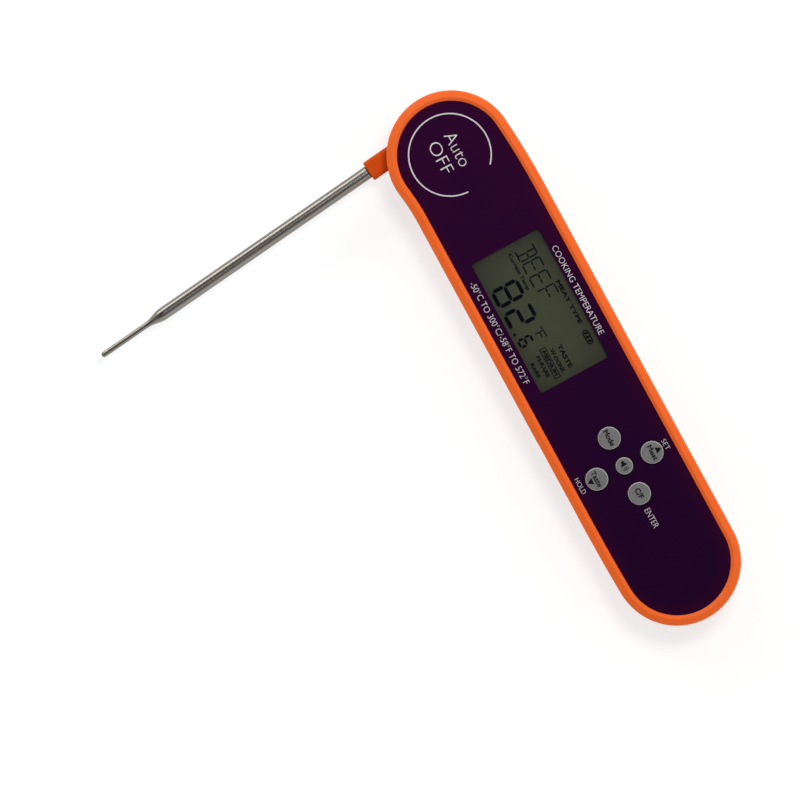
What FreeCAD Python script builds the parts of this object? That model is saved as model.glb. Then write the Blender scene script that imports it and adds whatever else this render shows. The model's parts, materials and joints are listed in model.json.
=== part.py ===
import FreeCAD
import Part
import math
import os
import re
import Sketcher

# Folding digital meat thermometer, in millimetres.
#
# X runs along the handle from the probe's hinge to the tail, Y runs across it towards the top of
# the display, and Z points out of the display. The origin is on the hinge axis, on the back face
# that the handle lies on. The probe is part way open. Everything on the probe is drawn folded,
# along +X, and then turned about the hinge.

UP = FreeCAD.Vector(0, 0, 1)
ORIGIN = (-1, 1)
TOUCH = 1e-5

DIMENSIONS = (
    # outline of the handle, seen from the front
    ("head_radius", 18.55, "round head, about the hinge"),
    ("upper_side", 19.5, "straight side above the display"),
    ("lower_side", 17.6, "straight side below the display"),
    ("upper_sweep_x", 20.0, "where the upper side starts to curve towards the head"),
    ("lower_sweep_x", 112.7, "where the lower side starts to curve towards the tail"),
    ("waist_radius", 60.0, "hollow between the head and the lower side"),
    ("tail_x", 132.7, "centre of the round tail"),
    ("tail_radius", 18.35, "round tail"),
    # heights above the back face
    ("floor_height", 1.8, "inside of the back wall"),
    ("slot_floor", 4.0, "floor of the probe slot"),
    ("parting_height", 7.5, "joint between the two shells"),
    ("slot_ceiling", 11.0, "ceiling of the probe slot"),
    ("bay_ceiling", 12.2, "top of the wall over the slot"),
    ("board_bottom", 12.6, "underside of the board"),
    ("board_top", 13.6, "component side of the board"),
    ("deck_bottom", 16.0, "underside of the deck behind the panel"),
    ("deck_top", 17.2, "face of the deck"),
    ("panel_bottom", 17.4, "back of the panel"),
    ("panel_top", 18.4, "face of the panel"),
    ("rim_height", 19.0, "crest of the rim"),
    # edges of the shells
    ("wall", 2.0, "side wall"),
    ("panel_inset", 2.95, "outline to the panel's recess"),
    ("panel_gap", 0.1, "panel to its recess"),
    ("tape_inset", 0.7, "panel's recess to its tape"),
    ("bevel_width", 0.9, "inner bevel of the rim"),
    ("slope_width", 1.75, "outer slope of the rim"),
    ("slope_drop", 0.8, "outer slope of the rim, downwards"),
    ("rim_rounding", 1.0, "below the slope"),
    ("reveal", 0.35, "groove along the joint of the shells"),
    ("back_rounding", 3.0, "round the back face"),
    # probe slot and hinge
    ("hub_cavity_radius", 16.9, "round room for the hub"),
    ("slot_stop", 13.1, "end wall of the slot, where the arm stops fully open"),
    ("channel_wall", 6.2, "inner wall of the storage channel"),
    ("channel_end", 116.0, "far end of the storage channel"),
    ("channel_corner", 2.0, "inner corner of the channel's end"),
    ("bay_left", 19.3, "electronics bay, head end"),
    ("bay_lower", 4.7, "electronics bay, beside the channel"),
    ("tail_bay_radius", 15.0, "round bay over the battery"),
    ("bearing_radius", 6.05, "bearing bore in each shell"),
    ("rear_bearing_floor", 2.4, "end of the blind rear bearing"),
    ("front_bearing_top", 14.0, "end of the front bearing"),
    ("bearing_boss_radius", 8.8, "boss round the front bearing"),
    ("seal_seat_radius", 7.05, "counterbore for each O-ring"),
    ("seal_seat_depth", 1.1, "counterbore for each O-ring"),
    ("seal_radius", 0.5, "section of an O-ring"),
    ("seal_gap", 0.03, "O-ring to trunnion"),
    ("washer_inner", 7.4, "thrust washer"),
    ("washer_outer", 11.0, "thrust washer"),
    ("washer_thickness", 0.3, "thrust washer"),
    ("scoop_x", 96.0, "thumb scoop below the folded probe"),
    ("scoop_radius", 20.0, "thumb scoop"),
    ("scoop_depth", 4.0, "thumb scoop, in from the side"),
    # hub, arm and probe, drawn folded
    ("rest_angle", -83.9, "probe as it lies, turned from folded, in degrees"),
    ("hub_radius", 16.6, "disc"),
    ("hub_bottom", 4.4, "disc and arm"),
    ("hub_top", 10.6, "disc and arm"),
    ("trunnion_radius", 6.0, "both trunnions"),
    ("trunnion_low", 2.55, "end of the rear trunnion"),
    ("trunnion_high", 13.9, "end of the front trunnion"),
    ("trunnion_bore", 3.5, "lead passage"),
    ("probe_offset", 9.7, "probe's axis to the hinge"),
    ("probe_height", 7.5, "probe's axis above the back face"),
    ("arm_width", 5.95, "arm"),
    ("arm_reach", 22.1, "end of the arm"),
    ("arm_rounding", 1.3, "long edges of the arm"),
    ("arm_end_rounding", 0.4, "edges round the arm's end"),
    ("socket_radius", 2.25, "counterbore at the arm's end"),
    ("socket_depth", 0.6, "counterbore at the arm's end"),
    ("cover_radius", 14.4, "hub's cover"),
    ("cover_gap", 0.1, "cover to hub"),
    ("cover_bottom", 9.4, "hub's cover"),
    ("chamber_radius", 2.6, "lead chamber in the hub"),
    ("chamber_floor", 5.9, "lead chamber in the hub"),
    ("hub_screw_circle", 11.6, "screws of the cover"),
    ("magnet_x", 14.0, "hub's magnet"),
    ("magnet_y", 2.5, "hub's magnet"),
    ("hub_magnet_radius", 1.6, "hub's magnet"),
    ("hub_magnet_depth", 2.0, "hub's magnet"),
    ("tube_start", 8.0, "inner end of the tube"),
    ("tube_radius", 1.9, "tube"),
    ("tube_wall", 0.3, "tube"),
    ("crimp_width", 0.9, "groove round the tube at the arm's mouth"),
    ("crimp_depth", 0.12, "groove round the tube at the arm's mouth"),
    ("taper_start", 93.3, "tube narrows"),
    ("taper_end", 99.6, "tube has narrowed"),
    ("tip_radius", 0.85, "reduced tip"),
    ("tip_reach", 114.9, "end of the tip"),
    ("bead_x", 112.6, "thermistor bead"),
    ("bead_radius", 0.5, "thermistor bead"),
    ("lead_radius", 0.4, "leads"),
    ("lead_hole_radius", 0.8, "hole for the leads in the arm"),
    ("lead_bend", 2.0, "bends of the probe's leads"),
    ("seal_plug_length", 1.5, "plug behind the tube"),
    ("epoxy_start", 104.8, "filling of the tip"),
    ("epoxy_end", 113.8, "filling of the tip"),
    # display
    ("window_left", 30.2, "display window"),
    ("window_right", 72.0, "display window"),
    ("window_lower", -10.0, "display window"),
    ("window_upper", 11.9, "display window"),
    ("window_corner", 0.8, "display window"),
    ("glass_left", 29.4, "display glass"),
    ("glass_right", 72.8, "display glass"),
    ("glass_lower", -10.8, "display glass"),
    ("glass_upper", 13.2, "front pane of the display glass"),
    ("ledge_width", 1.8, "front pane past the back pane"),
    ("glass_bottom", 14.8, "back of the display glass"),
    ("glass_middle", 15.9, "joint of the two panes"),
    ("glass_top", 17.0, "face of the display glass"),
    ("glass_gap", 0.3, "display glass to deck"),
    ("frame_width", 0.9, "wall of the display's frame"),
    ("guide_thickness", 0.9, "backlight guide"),
    # keys
    ("mode_x", 92.5, "mode key"),
    ("mode_y", 1.0, "mode key"),
    ("sound_x", 101.5, "sound key"),
    ("sound_y", 1.0, "sound key"),
    ("unit_x", 110.5, "unit key"),
    ("unit_y", 1.0, "unit key"),
    ("down_x", 101.1, "down key"),
    ("down_y", -7.75, "down key"),
    ("up_x", 101.9, "up key"),
    ("up_y", 9.8, "up key"),
    ("key_radius", 3.25, "large key"),
    ("small_key_radius", 2.45, "sound key"),
    ("key_top", 19.15, "face of each key"),
    ("key_flange", 0.8, "flange past the key"),
    ("flange_bottom", 15.3, "flange below the deck"),
    ("flange_thickness", 0.6, "flange below the deck"),
    ("key_panel_gap", 0.3, "key to panel"),
    ("key_deck_gap", 0.2, "key to deck"),
    ("key_rounding", 0.35, "edge of a key's face"),
    ("switch_width", 4.8, "tactile switch"),
    ("switch_height", 1.2, "tactile switch"),
    ("switch_floor", 0.15, "tactile switch, below its plunger's hole"),
    ("plunger_radius", 1.0, "plunger"),
    ("plunger_bottom", 14.3, "plunger"),
    ("plunger_gap", 0.2, "plunger to switch"),
    # board and its parts
    ("board_left", 27.8, "main board"),
    ("board_right", 115.5, "main board"),
    ("board_lower", -12.5, "main board"),
    ("board_upper", 14.5, "main board"),
    ("board_corner", 1.0, "main board"),
    ("head_tongue_left", 20.2, "board's tongue towards the head"),
    ("head_tongue_lower", 2.2, "board's tongue towards the head"),
    ("head_tongue_upper", 9.8, "board's tongue towards the head"),
    ("tail_tongue_right", 140.5, "board's tongue over the battery"),
    ("tail_tongue_lower", -8.0, "board's tongue over the battery"),
    ("tail_tongue_upper", 9.0, "board's tongue over the battery"),
    ("chip_x", 92.0, "controller chip"),
    ("chip_y", 8.0, "controller chip"),
    ("chip_width", 7.0, "controller chip"),
    ("chip_height", 1.2, "controller chip"),
    ("buzzer_x", 60.0, "buzzer"),
    ("buzzer_y", 6.5, "buzzer"),
    ("buzzer_radius", 6.0, "buzzer"),
    ("buzzer_height", 3.0, "buzzer"),
    ("buzzer_hole", 0.9, "sound hole of the buzzer"),
    ("reed_x", 21.6, "reed switch"),
    ("reed_y", 3.0, "reed switch, lower end"),
    ("reed_length", 6.0, "reed switch"),
    ("reed_radius", 0.9, "reed switch"),
    ("lead_drop_x", 23.6, "board's leads meet the board"),
    ("lead_drop_y", 6.0, "board's leads meet the board"),
    ("lead_level", 14.9, "board's leads above the hinge"),
    ("lead_joint", 12.6, "board's leads meet the probe's leads"),
    ("lead_corner", 0.9, "bends of the board's leads"),
    # screws
    ("recess_length", 2.0, "cross recess"),
    ("recess_width", 0.5, "cross recess"),
    ("housing_boss_radius", 2.6, "front boss"),
    ("rear_boss_radius", 3.0, "rear boss"),
    ("housing_hole_radius", 1.15, "screw hole in the rear shell"),
    ("housing_pilot_radius", 0.8, "screw hole in the front shell"),
    ("housing_pilot_top", 14.5, "end of the screw hole"),
    ("screw_seat", 2.0, "depth of a counterbore in the back"),
    ("screw_seat_radius", 2.1, "counterbore in the back"),
    ("housing_head_radius", 1.9, "screw head"),
    ("housing_head_height", 1.3, "screw head"),
    ("housing_recess_depth", 0.8, "cross recess in the head"),
    ("housing_shank_top", 12.5, "end of a screw"),
    ("board_boss_radius", 2.2, "boss above the board"),
    ("board_pilot_radius", 0.6, "screw hole in a board boss"),
    ("board_pilot_top", 15.7, "end of the screw hole"),
    ("board_hole_radius", 0.9, "screw hole in the board"),
    ("board_head_radius", 1.5, "screw head"),
    ("board_head_height", 1.0, "screw head"),
    ("board_recess_depth", 0.6, "cross recess in the head"),
    ("board_shank_top", 15.4, "end of a screw"),
    ("hub_pilot_radius", 0.7, "screw hole in the hub"),
    ("hub_hole_radius", 0.9, "screw hole in the cover"),
    ("hub_head_radius", 1.5, "screw head"),
    ("hub_head_seat", 9.9, "screw head"),
    ("hub_head_height", 0.6, "screw head"),
    ("hub_recess_depth", 0.35, "cross recess in the head"),
    ("hub_shank_bottom", 7.0, "end of a screw"),
    ("hub_pilot_bottom", 6.6, "end of the screw hole"),
    # battery and its door
    ("door_radius", 12.7, "battery cap"),
    ("door_gap", 0.15, "battery cap to shell, all round"),
    ("door_thickness", 1.5, "battery cap"),
    ("neck_radius", 11.2, "neck of the cap"),
    ("neck_bore", 10.4, "neck of the cap"),
    ("neck_top", 4.4, "neck of the cap"),
    ("ledge_top", 3.1, "shell's ledge under the lugs"),
    ("lug_circle", 10.3, "bayonet lugs"),
    ("lug_radius", 2.0, "bayonet lugs"),
    ("lug_bottom", 3.3, "bayonet lugs"),
    ("notch_radius", 2.4, "entry notches for the lugs"),
    ("lug_turn", 35.0, "closed lugs, turned from the notches, in degrees"),
    ("door_seal_circle", 11.95, "cap's O-ring"),
    ("door_seal_radius", 0.42, "cap's O-ring"),
    ("seal_groove_width", 0.9, "cap's O-ring groove"),
    ("seal_groove_depth", 0.87, "cap's O-ring groove"),
    ("coin_slot_length", 16.0, "coin slot"),
    ("coin_slot_width", 2.0, "coin slot"),
    ("coin_slot_depth", 0.9, "coin slot"),
    ("mark_radius", 0.6, "closed and open marks"),
    ("mark_depth", 0.25, "closed and open marks"),
    ("cap_mark_circle", 11.1, "mark on the battery cap"),
    ("shell_mark_circle", 14.3, "marks beside the battery cap"),
    ("cell_radius", 10.0, "battery cell"),
    ("cell_height", 3.2, "battery cell"),
    ("cell_bottom", 1.8, "battery cell"),
    ("cell_edge", 0.3, "rounding of the battery cell"),
    ("holder_radius", 14.5, "battery holder"),
    ("holder_bottom", 4.8, "battery holder"),
    ("holder_top", 8.0, "battery holder"),
    ("holder_recess", 5.3, "battery holder, over the cell"),
    ("holder_post_radius", 1.3, "posts up to the board"),
    ("holder_post_circle", 7.0, "posts up to the board"),
    ("contact_width", 3.0, "battery contacts"),
    ("contact_thickness", 0.3, "battery contacts"),
    ("contact_gap", 0.3, "battery contacts to holder"),
    ("contact_reach", 6.0, "negative contact, from the cell's centre"),
    ("side_contact_bottom", 4.6, "positive contact"),
    # magnets
    ("back_magnet_radius", 5.0, "back magnets"),
    ("back_magnet_height", 2.5, "back magnets"),
    ("magnet_ring_gap", 0.1, "back magnet to its ring"),
    ("magnet_ring_wall", 1.2, "ring round a back magnet"),
    ("magnet_ring_height", 1.6, "ring round a back magnet"),
    ("back_magnet_y", 6.5, "back magnets"),
    ("first_magnet_x", 42.0, "back magnets"),
    ("second_magnet_x", 100.0, "back magnets"),
)

HOUSING_SCREWS = ((24.5, 13.5), (24.5, -1.2), (84.5, -1.2), (119.5, 13.0), (120.8, -12.6))
BOARD_SCREWS = ((78.0, 11.0), (78.0, -1.5), (121.0, 6.8), (121.0, -5.0))
HUB_SCREW_ANGLES = (100.0, 200.0, 325.0)
HOLDER_POST_ANGLES = (60.0, 180.0, 300.0)
KEYS = ("mode", "sound", "unit", "down", "up")

doc = FreeCAD.newDocument("folding_thermometer")
sheet = doc.addObject("Spreadsheet::Sheet", "Dims")
for row, (alias, value, note) in enumerate(DIMENSIONS, start=1):
    sheet.set("A%d" % row, note)
    sheet.set("B%d" % row, str(value))
    sheet.setAlias("B%d" % row, alias)
doc.recompute()
ALIASES = {alias for alias, value, note in DIMENSIONS}
nodes = []


# ---------------------------------------------------------------------------- formulas and helpers

def formula(text):
    """A formula with the sheet's name in front of each alias."""
    def name_sheet(word):
        return "Dims." + word.group() if word.group() in ALIASES else word.group()
    return re.sub(r"[a-z][a-z0-9_]*", name_sheet, str(text))


def number(text):
    """The value of a formula."""
    return float(sheet.evalExpression(formula(text)))


def bind(item, formulas):
    """Ties properties of an object to formulas of the sheet."""
    for name, text in formulas.items():
        item.setExpression(name, formula(text))


def keep(item, label):
    """Makes an object one of the sub-parts, under the name of its file."""
    item.Label = label
    nodes.append(item)
    return item


def new_body(label):
    return keep(doc.addObject("PartDesign::Body", label), label)


def turn_with_probe(item, x="0", y="0", z="0"):
    """Turns a sub-part that is drawn folded to where the probe lies."""
    folded = FreeCAD.Placement(FreeCAD.Vector(number(x), number(y), number(z)), FreeCAD.Rotation())
    turn = FreeCAD.Placement(FreeCAD.Vector(), FreeCAD.Rotation(UP, number("rest_angle")))
    item.Placement = turn.multiply(folded)


# ---------------------------------------------------------------------------- sketches

def plane_sketch(body, name, role, offset):
    """A sketch parallel to one of the body's origin planes."""
    sketch = body.newObject("Sketcher::SketchObject", name)
    plane = next(item for item in body.Origin.OriginFeatures if item.Role == role)
    sketch.AttachmentSupport = [(plane, "")]
    sketch.MapMode = "FlatFace"
    bind(sketch, {"AttachmentOffset.Base.z": offset})
    return sketch


def level_sketch(body, name, height):
    return plane_sketch(body, name, "XY_Plane", height)


def drive(sketch, text, kind, *where):
    """Adds a dimension and ties it to a formula."""
    index = sketch.addConstraint(Sketcher.Constraint(kind, *where, number(text)))
    sketch.setExpression("Constraints[%d]" % index, formula(text))


def place_point(sketch, item, point, x, y):
    """Fixes a point of a sketch by its two distances from the origin."""
    drive(sketch, x, "DistanceX", *ORIGIN, item, point)
    drive(sketch, y, "DistanceY", *ORIGIN, item, point)


def circle(sketch, x, y, radius):
    center = FreeCAD.Vector(number(x), number(y))
    item = sketch.addGeometry(Part.Circle(center, UP, number(radius)))
    drive(sketch, radius, "Radius", item)
    place_point(sketch, item, 3, x, y)


def rectangle(sketch, left, right, lower, upper):
    x0, x1, y0, y1 = (number(text) for text in (left, right, lower, upper))
    corners = [FreeCAD.Vector(x, y) for x, y in ((x0, y0), (x1, y0), (x1, y1), (x0, y1))]
    sides = []
    for start, end in zip(corners, corners[1:] + corners[:1]):
        sides.append(sketch.addGeometry(Part.LineSegment(start, end)))
    for side, following in zip(sides, sides[1:] + sides[:1]):
        sketch.addConstraint(Sketcher.Constraint("Coincident", side, 2, following, 1))
    for side, kind in zip(sides, ("Horizontal", "Vertical", "Horizontal", "Vertical")):
        sketch.addConstraint(Sketcher.Constraint(kind, side))
    place_point(sketch, sides[0], 1, left, lower)
    place_point(sketch, sides[2], 1, right, upper)


def arc(center, radius, start, end):
    return Part.ArcOfCircle(Part.Circle(center, UP, radius), start, end)


def join_tangent(sketch, ends):
    """Joins pieces end to start, each tangent to the next. Arcs run anticlockwise."""
    for (item, point), (following, start) in ends:
        sketch.addConstraint(Sketcher.Constraint("Tangent", item, point, following, start))


def handle_outline(sketch, inset):
    """The handle's outline, moved inwards: four arcs and two sides that run on into each other."""
    head = number("head_radius - (%s)" % inset)
    tail = number("tail_radius - (%s)" % inset)
    upper = number("upper_side - (%s)" % inset)
    lower = -number("lower_side - (%s)" % inset)
    waist = number("waist_radius + (%s)" % inset)
    tail_x = number("tail_x")
    tail_y = upper - tail
    sweep_x = number("upper_sweep_x")
    droop_x = number("lower_sweep_x")

    waist_center = FreeCAD.Vector(math.sqrt((head + waist) ** 2 - (waist - lower) ** 2), lower - waist)
    sweep = (sweep_x ** 2 + upper ** 2 - head ** 2) / (2 * (upper - head))
    sweep_center = FreeCAD.Vector(sweep_x, upper - sweep)
    rise = tail_y - lower
    droop = ((tail_x - droop_x) ** 2 + rise ** 2 - tail ** 2) / (2 * (rise - tail))
    droop_center = FreeCAD.Vector(droop_x, lower + droop)
    tail_center = FreeCAD.Vector(tail_x, tail_y)

    def heading(vector):
        return math.atan2(vector.y, vector.x)

    quarter = math.pi / 2
    head_from = heading(-sweep_center)
    head_to = heading(waist_center) + 2 * math.pi
    tail_from = heading(tail_center - droop_center)
    pieces = (
        arc(FreeCAD.Vector(), head, head_from, head_to),
        arc(waist_center, waist, quarter, heading(-waist_center)),
        Part.LineSegment(FreeCAD.Vector(waist_center.x, lower), FreeCAD.Vector(droop_x, lower)),
        arc(droop_center, droop, -quarter, tail_from),
        arc(tail_center, tail, tail_from, quarter),
        Part.LineSegment(FreeCAD.Vector(tail_x, upper), FreeCAD.Vector(sweep_x, upper)),
        arc(sweep_center, sweep, quarter, head_from),
    )
    head_arc, waist_arc, lower_line, droop_arc, tail_arc, upper_line, sweep_arc = (
        sketch.addGeometry(piece) for piece in pieces)
    join_tangent(sketch, (
        ((head_arc, 2), (waist_arc, 2)),
        ((waist_arc, 1), (lower_line, 1)),
        ((lower_line, 2), (droop_arc, 1)),
        ((droop_arc, 2), (tail_arc, 1)),
        ((tail_arc, 2), (upper_line, 1)),
        ((upper_line, 2), (sweep_arc, 1)),
        ((sweep_arc, 2), (head_arc, 1)),
    ))
    sketch.addConstraint(Sketcher.Constraint("Coincident", head_arc, 3, *ORIGIN))
    sketch.addConstraint(Sketcher.Constraint("Horizontal", lower_line))
    sketch.addConstraint(Sketcher.Constraint("Horizontal", upper_line))
    drive(sketch, "head_radius - (%s)" % inset, "Radius", head_arc)
    drive(sketch, "waist_radius + (%s)" % inset, "Radius", waist_arc)
    drive(sketch, "tail_radius - (%s)" % inset, "Radius", tail_arc)
    drive(sketch, "-(lower_side - (%s))" % inset, "DistanceY", *ORIGIN, lower_line, 1)
    drive(sketch, "upper_side - (%s)" % inset, "DistanceY", *ORIGIN, upper_line, 1)
    drive(sketch, "lower_sweep_x", "DistanceX", *ORIGIN, droop_arc, 3)
    drive(sketch, "tail_x", "DistanceX", *ORIGIN, tail_arc, 3)
    drive(sketch, "upper_sweep_x", "DistanceX", *ORIGIN, sweep_arc, 3)


# ---------------------------------------------------------------------------- features

def finish(body, feature):
    body.Tip = feature
    doc.recompute()
    if "Invalid" in feature.State or "Error" in feature.State or feature.Shape.isNull():
        raise RuntimeError("%s of %s failed" % (feature.Name, body.Label))
    return feature


def pad(body, sketch, length):
    feature = body.newObject("PartDesign::Pad", sketch.Name + "_pad")
    feature.Profile = sketch
    bind(feature, {"Length": length})
    return finish(body, feature)


def pocket(body, sketch, depth):
    """Cuts from the sketch towards the back, and makes sure that it cut something."""
    before = body.Shape.Volume
    feature = body.newObject("PartDesign::Pocket", sketch.Name + "_pocket")
    feature.Profile = sketch
    bind(feature, {"Length": depth})
    finish(body, feature)
    if body.Shape.Volume > before - TOUCH:
        raise RuntimeError("%s cuts nothing" % feature.Name)
    return feature


def pad_circles(body, name, bottom, top, circles):
    """Adds a cylinder for each (x, y, radius) between two heights."""
    sketch = level_sketch(body, name, bottom)
    for x, y, radius in circles:
        circle(sketch, x, y, radius)
    return pad(body, sketch, "(%s) - (%s)" % (top, bottom))


def cut_circles(body, name, bottom, top, circles):
    """Cuts a round hole for each (x, y, radius) between two heights."""
    sketch = level_sketch(body, name, top)
    for x, y, radius in circles:
        circle(sketch, x, y, radius)
    return pocket(body, sketch, "(%s) - (%s)" % (top, bottom))


def pad_rectangle(body, name, bottom, top, sides):
    sketch = level_sketch(body, name, bottom)
    rectangle(sketch, *sides)
    return pad(body, sketch, "(%s) - (%s)" % (top, bottom))


def cut_rectangle(body, name, bottom, top, sides):
    sketch = level_sketch(body, name, top)
    rectangle(sketch, *sides)
    return pocket(body, sketch, "(%s) - (%s)" % (top, bottom))


def pad_outline(body, name, bottom, top, inset):
    sketch = level_sketch(body, name, bottom)
    handle_outline(sketch, inset)
    return pad(body, sketch, "(%s) - (%s)" % (top, bottom))


def cut_outline(body, name, bottom, top, inset):
    sketch = level_sketch(body, name, top)
    handle_outline(sketch, inset)
    return pocket(body, sketch, "(%s) - (%s)" % (top, bottom))


def edge_names(feature, wanted):
    """The names of the edges of a feature that a test accepts."""
    edges = enumerate(feature.Shape.Edges, start=1)
    return ["Edge%d" % index for index, edge in edges if wanted(edge)]


def lies_flat(height):
    """A test for edges that lie flat at a height."""
    level = number(height)

    def test(edge):
        box = edge.BoundBox
        return abs(box.ZMin - level) < TOUCH and abs(box.ZMax - level) < TOUCH
    return test


def stands_at(x, y):
    """A test for upright edges over a point."""
    def test(edge):
        box = edge.BoundBox
        upright = box.XLength < TOUCH and box.YLength < TOUCH
        return upright and math.hypot(box.XMin - number(x), box.YMin - number(y)) < TOUCH
    return test


def ring_edge(feature, height, outer):
    """A test for one border of the flat ring at a height: the outer or the inner one."""
    level = number(height)
    for face in feature.Shape.Faces:
        box = face.BoundBox
        if len(face.Wires) > 1 and abs(box.ZMin - level) < TOUCH and abs(box.ZMax - level) < TOUCH:
            border = face.OuterWire.Edges
            inside = [edge for wire in face.Wires[1:] for edge in wire.Edges]
            chosen = border if outer else inside
            return lambda edge: any(edge.isSame(other) for other in chosen)
    raise RuntimeError("no ring at height %s" % height)


def round_edges(body, feature, wanted, radius):
    fillet = body.newObject("PartDesign::Fillet", feature.Name + "_rounding")
    fillet.Base = (feature, edge_names(feature, wanted))
    bind(fillet, {"Radius": radius})
    return finish(body, fillet)


def bevel_edges(body, feature, wanted, across, down):
    """Bevels the border of a level face: so far across it, and so far down its side."""
    bevel = body.newObject("PartDesign::Chamfer", feature.Name + "_bevel")
    bevel.Base = (feature, edge_names(feature, wanted))
    bevel.ChamferType = "Two distances"
    bind(bevel, {"Size": across, "Size2": down})
    return finish(body, bevel)


# ---------------------------------------------------------------------------- primitives

def move(item, x, y, z):
    bind(item, {"Placement.Base.x": x, "Placement.Base.y": y, "Placement.Base.z": z})
    return item


def cylinder(name, x, y, bottom, top, radius):
    item = doc.addObject("Part::Cylinder", name)
    bind(item, {"Radius": radius, "Height": "(%s) - (%s)" % (top, bottom)})
    return move(item, x, y, bottom)


def box(name, left, right, lower, upper, bottom, top):
    item = doc.addObject("Part::Box", name)
    bind(item, {"Length": "(%s) - (%s)" % (right, left),
                "Width": "(%s) - (%s)" % (upper, lower),
                "Height": "(%s) - (%s)" % (top, bottom)})
    return move(item, left, lower, bottom)


def torus(name, x, y, z, circle_radius, section_radius):
    item = doc.addObject("Part::Torus", name)
    bind(item, {"Radius1": circle_radius, "Radius2": section_radius})
    return move(item, x, y, z)


def cut(name, base, tool):
    item = doc.addObject("Part::Cut", name)
    item.Base = base
    item.Tool = tool
    return item


def fuse(name, items):
    item = doc.addObject("Part::MultiFuse", name)
    item.Shapes = items
    item.Refine = True
    return item


def cross_recess(screw, x, y, bottom, top):
    """A screw with a cross cut into its head between two heights."""
    arms = []
    for across, along in (("recess_length", "recess_width"), ("recess_width", "recess_length")):
        arms.append(box("recess_arm", "%s - %s / 2" % (x, across), "%s + %s / 2" % (x, across),
                        "%s - %s / 2" % (y, along), "%s + %s / 2" % (y, along), bottom, top))
    return cut("recessed_" + screw.Label, screw, fuse("recess", arms))


def group(name, items):
    item = doc.addObject("Part::Compound", name)
    item.Links = items
    return item


def lead_shape(points, radius, bend):
    """A round lead along straight runs, with an arc of one size at each corner."""
    edges = []
    start = points[0]
    for before, corner, after in zip(points, points[1:], points[2:]):
        back = (before - corner).normalize()
        forward = (after - corner).normalize()
        half_angle = back.getAngle(forward) / 2
        cut_back = bend / math.tan(half_angle)
        first = corner + back * cut_back
        last = corner + forward * cut_back
        middle_way = (back + forward).normalize()
        depth = bend / math.sin(half_angle) - bend
        edges.append(Part.LineSegment(start, first).toShape())
        edges.append(Part.Arc(first, corner + middle_way * depth, last).toShape())
        start = last
    edges.append(Part.LineSegment(start, points[-1]).toShape())
    section = Part.Wire(Part.Circle(points[0], edges[0].tangentAt(0), radius).toShape())
    return Part.Wire(edges).makePipeShell([section], True, False)


def lead(label, corners, bend):
    item = doc.addObject("Part::Feature", label)
    points = [FreeCAD.Vector(*(number(text) for text in corner)) for corner in corners]
    item.Shape = lead_shape(points, number("lead_radius"), number(bend))
    return keep(item, label)


def polar(circle_radius, angle):
    """The x and y formulas of a point at an angle in degrees."""
    turn = "((%s) * 1 deg)" % angle
    return "%s * cos%s" % (circle_radius, turn), "%s * sin%s" % (circle_radius, turn)


def key_place(name):
    return name + "_x", name + "_y"


def key_size(name):
    return "small_key_radius" if name == "sound" else "key_radius"


# ---------------------------------------------------------------------------- shells

def cut_electronics_bay(body, bottom, tail_bottom, top):
    """The room inside a shell beside the channel, and the round room over the battery."""
    sides = ("bay_left", "tail_x", "-bay_lower", "upper_side - wall")
    cut_rectangle(body, body.Label + "_bay", bottom, top, sides)
    tail = [("tail_x", "upper_side - tail_radius", "tail_bay_radius")]
    cut_circles(body, body.Label + "_tail_bay", tail_bottom, top, tail)


def cut_probe_slot(body, bottom, top):
    """Room for the hub, for the arm's half turn round the head, and for the folded probe."""
    beyond = "(2 * head_radius)"
    cut_circles(body, body.Label + "_hub_room", bottom, top, [("0", "0", "hub_cavity_radius")])
    sides = ("-" + beyond, "0", "-" + beyond, "slot_stop")
    cut_rectangle(body, body.Label + "_arm_slot", bottom, top, sides)
    channel = cut_rectangle(body, body.Label + "_channel", bottom, top,
                            ("0", "channel_end", "-" + beyond, "-channel_wall"))
    round_edges(body, channel, stands_at("channel_end", "-channel_wall"), "channel_corner")


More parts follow.
